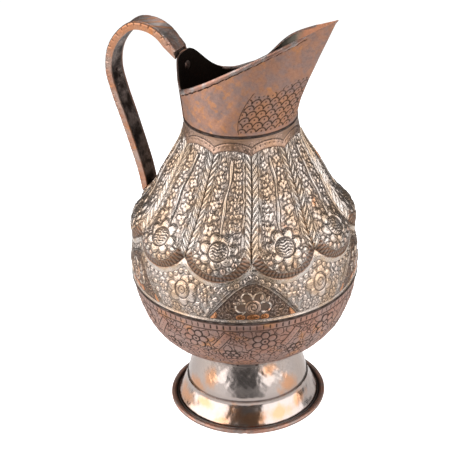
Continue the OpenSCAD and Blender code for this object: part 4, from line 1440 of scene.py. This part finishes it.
class JUG_OT_handle(bpy.types.Operator):
    """The hollow handle: an outer channel and the strip that closes it"""

    bl_idname = "jug.handle"
    bl_label = "Handle"

    def execute(self, context):
        line = HandleLine(420)
        self.channel(line)
        self.strip(line)
        for index, (at, side) in enumerate(((0.44, -2.0), (0.50, 1.5), (0.47, 3.0))):
            place = int(at * 419)
            centre = line.points(np.full(420, side), HANDLE_D + 0.1)[place]
            solder_drop(f"handle_solder_drop_{index + 1}", tuple(centre), 0, 1.9, 0.4)
        return {"FINISHED"}

    def channel(self, line):
        """The bent channel, its edges rounded, notched along one side and cut near the tab."""
        half = line.width / 2
        wall, round_r = SHEET, 1.3
        top_points = 15
        outline = []
        for s in np.linspace(-1, 1, top_points):
            outline.append((s, -round_r * s, 0.25 * (1 - s * s) - 0.25))
        for angle in np.radians([22, 45, 68, 90]):
            outline.append((1, -round_r * (1 - math.sin(angle)), round_r * (1 - math.cos(angle))))
        outline += [(1, 0, depth) for depth in (2.2, 3.2, 4.2, 5.0, HANDLE_D)]
        outline += [(1, -wall, HANDLE_D), (1, -wall, wall + 0.6), (1, -wall - 0.6, wall)]
        outline += [(-s, -off, depth) for s, off, depth in reversed(outline[top_points:])]
        outline.append(outline[0])
        notch = repeat_away(line.run, sizes()["notch_pitch"])
        notch = np.clip(1 - notch / 0.55, 0, 1) * ramp(line.run, 8, 20)
        share = line.run / line.run[-1]
        fine = np.clip(1 - repeat_away(line.run, 3.1) / 0.5, 0, 1) * (share < 0.6)
        ding = ring_noise(np.linspace(0, 300, len(line.run)), [0.0], 24.0, 51)[0]
        rows, marks = [], []
        for s, off, depth in outline:
            edge = np.clip((abs(s) - 0.82) / 0.18, 0, 1) * (depth < 3.4)
            side = s * half + off
            sunk = 0.5 * notch * edge * (depth < 2.6)
            sunk_side = side - np.sign(s) * sunk * (abs(s) > 0.9)
            dinged = 0.1 * ding * (depth < 1) * (1 - abs(s)) + 0.15 * sunk + 0.25 * (depth < 0.5)
            rows.append(line.points(sunk_side, depth + dinged))
            cut = notch * edge * (0.3 < depth) * (depth < 2.9)
            cut = np.maximum(cut, 0.6 * fine * edge * (depth < 2.4) * (depth > 0.3))
            slanted = line.run - side * 0.75
            near_tab = (line.run[-1] - slanted > 14) & (line.run[-1] - slanted < 38)
            tab_cuts = np.clip(1 - repeat_away(slanted, 6.8) / 0.9, 0, 1) * near_tab * (depth < 0.6)
            tab_cuts = tab_cuts * (side < 4.5) * (side > -7.5)
            mark = np.zeros((len(line.run), 4))
            mark[:, 0] = 1
            mark[:, 1] = np.maximum(cut, 0.5 * tab_cuts)
            on_side = (abs(s) > 0.95) * (depth > 0.25)
            arch = ramp(share, 0.52, 0.66) * (1 - ramp(share, 0.93, 0.97))
            warm = on_side * (0.28 + 0.4 * arch) * (s < 0) + on_side * 0.3 * (s > 0)
            near_cut = near_tab * (depth < 0.6) * np.clip(1 - repeat_away(slanted + 1.4, 6.8) / 1.6, 0, 1)
            mark[:, 2] = np.clip(np.maximum(warm, near_cut), 0, 1)
            marks.append(mark)
        piece = wrap_sheet("handle_outer_channel", np.array(rows), np.array(marks))
        finish_piece(piece, metal("handle_copper"), "worn_copper", "handle_channel")

    def strip(self, line):
        """The dark strip, a little hollow, with a wavy edge where it was dressed down."""
        half = line.width / 2 - SHEET
        wavy = 0.3 * np.sin(line.run * 0.55) + 0.2 * np.sin(line.run * 1.23 + 1)
        rows, marks = [], []
        across = np.linspace(-1, 1, 13)
        for s in across:
            depth = HANDLE_D - 0.15 - 0.45 * (1 - s * s) + 0.25 * wavy * (abs(s) > 0.8)
            rows.append(line.points(s * half, depth))
            mark = np.zeros((len(line.run), 4))
            mark[:, 0] = 0.5
            mark[:, 2] = 0.8 * (abs(s) > 0.95)
            marks.append(mark)
        for s in across[::-1]:
            rows.append(line.points(s * half, HANDLE_D - 1.3 + 0 * wavy))
            marks.append(np.zeros((len(line.run), 4)))
        rows.append(rows[0])
        marks.append(marks[0])
        piece = wrap_sheet("handle_closing_strip", np.array(rows), np.array(marks))
        finish_piece(piece, metal("strip_tin"), "dark_tin", "handle_strip")


class JUG_OT_handle_fixings(bpy.types.Operator):
    """The tongue and the rivet at the handle's upper end, and the solder at its foot"""

    bl_idname = "jug.handle_fixings"
    bl_label = "Handle fixings"

    def execute(self, context):
        self.tongue()
        self.rivet()
        self.pad()
        return {"FINISHED"}

    def tongue(self):
        """A tongue of sheet behind the tab."""
        turn = (np.linspace(-5.5, 5.5, 23) + 360) % 360 - 180
        top = TAB_Z - NECK_BASE
        low = (bottom_of("handle_tongue") - NECK_BASE) / top
        turn_grid, share = np.meshgrid(turn, np.linspace(low, 0.995, 30))
        base, side = neck_points(turn_grid, share), neck_normals(turn_grid, share)
        outer = base + 1.1 * side
        inner = (base + 0.02 * side)[[0, 15, -1]]
        piece = wrap_sheet("handle_tongue_sheet", round_wall(outer, inner))
        finish_piece(piece, metal("neck_copper"), "worn_copper", "handle_tongue")

    def rivet(self):
        """A shank between two hammered heads."""
        low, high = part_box("handle_top_rivet")
        middle_z = (low.z + high.z) / 2 / MM
        x0, x1 = low.x / MM, high.x / MM
        head = (high.z - low.z) / 2 / MM
        rows = []
        dome = ((0, 0.0), (0.05, 0.35), (0.2, 0.62), (0.55, 0.88), (1.0, 1.0), (1.3, 0.98), (1.32, 0.5))
        for x, r in dome:
            rows.append((x0 + x, r * head))
        for x, r in reversed(dome):
            rows.append((x1 - x, r * head))
        rows = np.array(rows)
        a = np.linspace(0, 2 * math.pi, 33)
        points = np.stack([rows[:, :1] + 0 * a, rows[:, 1:] * np.cos(a),
                           middle_z + rows[:, 1:] * np.sin(a)], -1)
        piece = wrap_sheet("handle_rivet", points)
        finish_piece(piece, metal("strip_tin"), "dark_tin", "handle_top_rivet")

    def pad(self):
        """Solder run in between the handle's foot and the lobe behind it."""
        low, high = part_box("handle_foot_solder")
        half_w = high.y / MM
        y = np.linspace(-half_w, half_w, 25)
        z = np.linspace(low.z / MM + 0.2, high.z / MM - 0.2, 21)
        y_grid, z_grid = np.meshgrid(y, z)
        ridge_r = np.interp(z, [145, 149.6, 155, 158], [76.9, 76.2, 72.9, 70.5])[:, None]
        wall = -np.sqrt(ridge_r**2 - y_grid**2) * (1 - 0.0006 * y_grid**2)
        proud = 1.5 * np.sin(np.linspace(0.1, np.pi - 0.1, 21))[:, None] ** 0.5 * (
            1 - (y_grid / half_w) ** 4)
        lumps = 0.25 * np.sin(y_grid * 1.3) * np.sin(z_grid * 1.1)
        outer = np.stack([wall - proud + lumps, y_grid, z_grid], -1)
        inner = np.stack([wall + 0.8, y_grid, z_grid], -1)
        piece = wrap_sheet("handle_foot_solder_pad", round_wall(outer, inner[[0, 10, -1]]))
        finish_piece(piece, metal("old_solder"), "solder", "handle_foot_solder")


# ---- stage ----


def direction(turn, rise):
    """The way to a place that is turned from the front and raised, in degrees."""
    a, e = math.radians(turn), math.radians(rise)
    return Vector((math.sin(a) * math.cos(e), -math.cos(a) * math.cos(e), math.sin(e)))


class JUG_OT_stage(bpy.types.Operator):
    """The pale floor, the soft lights at the two sides and the camera"""

    bl_idname = "jug.stage"
    bl_label = "Stage"

    azimuth = 30.0
    elevation = 28.55
    distance = 1.095
    lens = 126.6
    roll = -1.94
    aim_height = 0.1381
    aim_side = -0.01286
    # where the painted pool of light on the floor starts to fade and ends, in metres from the jug's middle
    pool_inner, pool_outer = 0.25, 0.75
    # the painted shade in front: where it starts, is full, starts to fade and ends, and its edges as slopes
    shade_ahead = (0.105, 0.14, 0.28, 0.4)
    shade_aside = (0.38, 0.5)

    def execute(self, context):
        self.floor()
        self.world()
        self.lights()
        self.camera()
        return {"FINISHED"}

    def floor(self):
        bpy.ops.object.select_all(action="DESELECT")
        width = sizes()["floor_width"] * MM
        bpy.ops.mesh.primitive_plane_add(size=width, location=(0, 0, -0.0002))
        floor = bpy.context.active_object
        floor.name = "pale_floor"
        material = bpy.data.materials.new("pale_floor")
        material.use_nodes = True
        shader = material.node_tree.nodes["Principled BSDF"]
        shader.inputs["Roughness"].default_value = 0.9
        shader.inputs["Emission Color"].default_value = (1, 1, 1, 1)
        tree = material.node_tree
        seen = node(tree, "ShaderNodeLightPath").outputs["Is Camera Ray"]
        place = node(tree, "ShaderNodeTexCoord").outputs["Object"]
        pool = self.pool_of_light(tree, place)
        # The floor glows evenly white to the camera; to the rest of the scene it glows faintly, only inside
        # the painted pool of light.
        glow = maths(tree, "MAXIMUM", seen, maths(tree, "MULTIPLY", pool, 0.25))
        tree.links.new(glow, shader.inputs["Emission Strength"])
        # Painted shade: outside the pool and in the shade in front, the floor's colour is nearly black.
        tree.links.new(blend_colours(tree, pool, (0.08, 0.08, 0.08, 1), colour("floor")),
                       shader.inputs["Base Color"])
        floor.data.materials.append(material)

    def pool_of_light(self, tree, place):
        """A painted pool of light on the floor: lit round the jug, but with painted shade just in front of
        it, which gives the foot its dark middle."""
        away = node(tree, "ShaderNodeVectorMath", operation="LENGTH")
        tree.links.new(place, away.inputs[0])
        pool = between(tree, away.outputs["Value"], self.pool_inner, self.pool_outer, 1.0, 0.0)
        ahead = self.measured(tree, place, direction(self.azimuth, 0))
        aside = self.measured(tree, place, direction(self.azimuth + 90, 0))
        aside = maths(tree, "DIVIDE", maths(tree, "ABSOLUTE", aside), ahead)
        near, near_full, far_full, far = self.shade_ahead
        shade = maths(tree, "MULTIPLY", between(tree, aside, *self.shade_aside, 1.0, 0.0),
                      between(tree, ahead, near, near_full))
        shade = maths(tree, "MULTIPLY", shade, between(tree, ahead, far_full, far, 1.0, 0.0))
        return maths(tree, "MULTIPLY", pool, maths(tree, "SUBTRACT", 1.0, shade))

    def measured(self, tree, place, way):
        """How far a point lies along a direction."""
        dot = node(tree, "ShaderNodeVectorMath", operation="DOT_PRODUCT")
        tree.links.new(place, dot.inputs[0])
        dot.inputs[1].default_value = way
        return dot.outputs["Value"]

    def world(self):
        world = bpy.data.worlds.new("studio")
        world.use_nodes = True
        tree = world.node_tree
        seen = node(tree, "ShaderNodeLightPath").outputs["Is Camera Ray"]
        sky = tree.nodes["Background"]
        sky.inputs["Color"].default_value = (1, 1, 1, 1)
        tree.links.new(between(tree, seen, 0.0, 1.0, 0.1, 1.0), sky.inputs["Strength"])
        bpy.context.scene.world = world
        bpy.context.scene.view_settings.view_transform = "Standard"

    def lights(self):
        for name, turn, rise, away, wide, high, power in (
                ("left_softbox", -71, 20, 0.95, 1.4, 1.1, 14),
                ("right_softbox", 58, 20, 0.95, 1.4, 1.1, 12),
                ("top_softbox", 180, 58, 1.3, 0.9, 0.7, 5)):
            back = direction(self.azimuth + turn, rise)
            aim = Vector((0, 0, 0.14))
            data = bpy.data.lights.new(name, "AREA")
            data.shape = "RECTANGLE"
            data.size, data.size_y, data.energy = wide, high, power
            light = bpy.data.objects.new(name, data)
            light.location = aim + back * away
            light.rotation_euler = back.to_track_quat("Z", "Y").to_euler()
            light.visible_camera = False
            bpy.context.scene.collection.objects.link(light)

    def camera(self):
        back = direction(self.azimuth, self.elevation)
        right = direction(self.azimuth + 90, 0)
        data = bpy.data.cameras.new("camera")
        data.lens = self.lens
        data.clip_start = 0.05
        camera = bpy.data.objects.new("camera", data)
        aim = Vector((0, 0, self.aim_height)) + right * self.aim_side
        turn = back.to_track_quat("Z", "Y").to_matrix() @ Matrix.Rotation(math.radians(self.roll), 3, "Z")
        camera.matrix_world = Matrix.Translation(aim + back * self.distance) @ turn.to_4x4()
        bpy.context.scene.collection.objects.link(camera)
        bpy.context.scene.camera = camera


# ---- the add-on ----


PIECE_OPERATORS = (JUG_OT_foot, JUG_OT_bowl, JUG_OT_belly_seam, JUG_OT_shoulder, JUG_OT_neck,
                   JUG_OT_lip_hem, JUG_OT_handle, JUG_OT_handle_fixings, JUG_OT_stage)


class JUG_PT_pieces(bpy.types.Panel):
    """Lists the jug's sizes, colours and pieces"""

    bl_idname = "JUG_PT_pieces"
    bl_label = "Copper jug"
    bl_space_type = "VIEW_3D"
    bl_region_type = "UI"
    bl_category = "Jug"

    def draw(self, context):
        for group in (context.scene.jug_sizes, context.scene.jug_finish):
            column = self.layout.column(align=True)
            for name in group.__annotations__:
                column.prop(group, name)
        column = self.layout.column(align=True)
        for operator in PIECE_OPERATORS:
            column.operator(operator.bl_idname)


CLASSES = (JugSizes, JugFinish, *PIECE_OPERATORS, JUG_PT_pieces)


def register():
    for each in CLASSES:
        bpy.utils.register_class(each)
    bpy.types.Scene.jug_sizes = bpy.props.PointerProperty(type=JugSizes)
    bpy.types.Scene.jug_finish = bpy.props.PointerProperty(type=JugFinish)


def unregister():
    del bpy.types.Scene.jug_finish
    del bpy.types.Scene.jug_sizes
    for each in reversed(CLASSES):
        bpy.utils.unregister_class(each)


def main():
    register()
    for operator in PIECE_OPERATORS:
        group, name = operator.bl_idname.split(".")
        getattr(getattr(bpy.ops, group), name)()


if __name__ == "__main__":
    main()
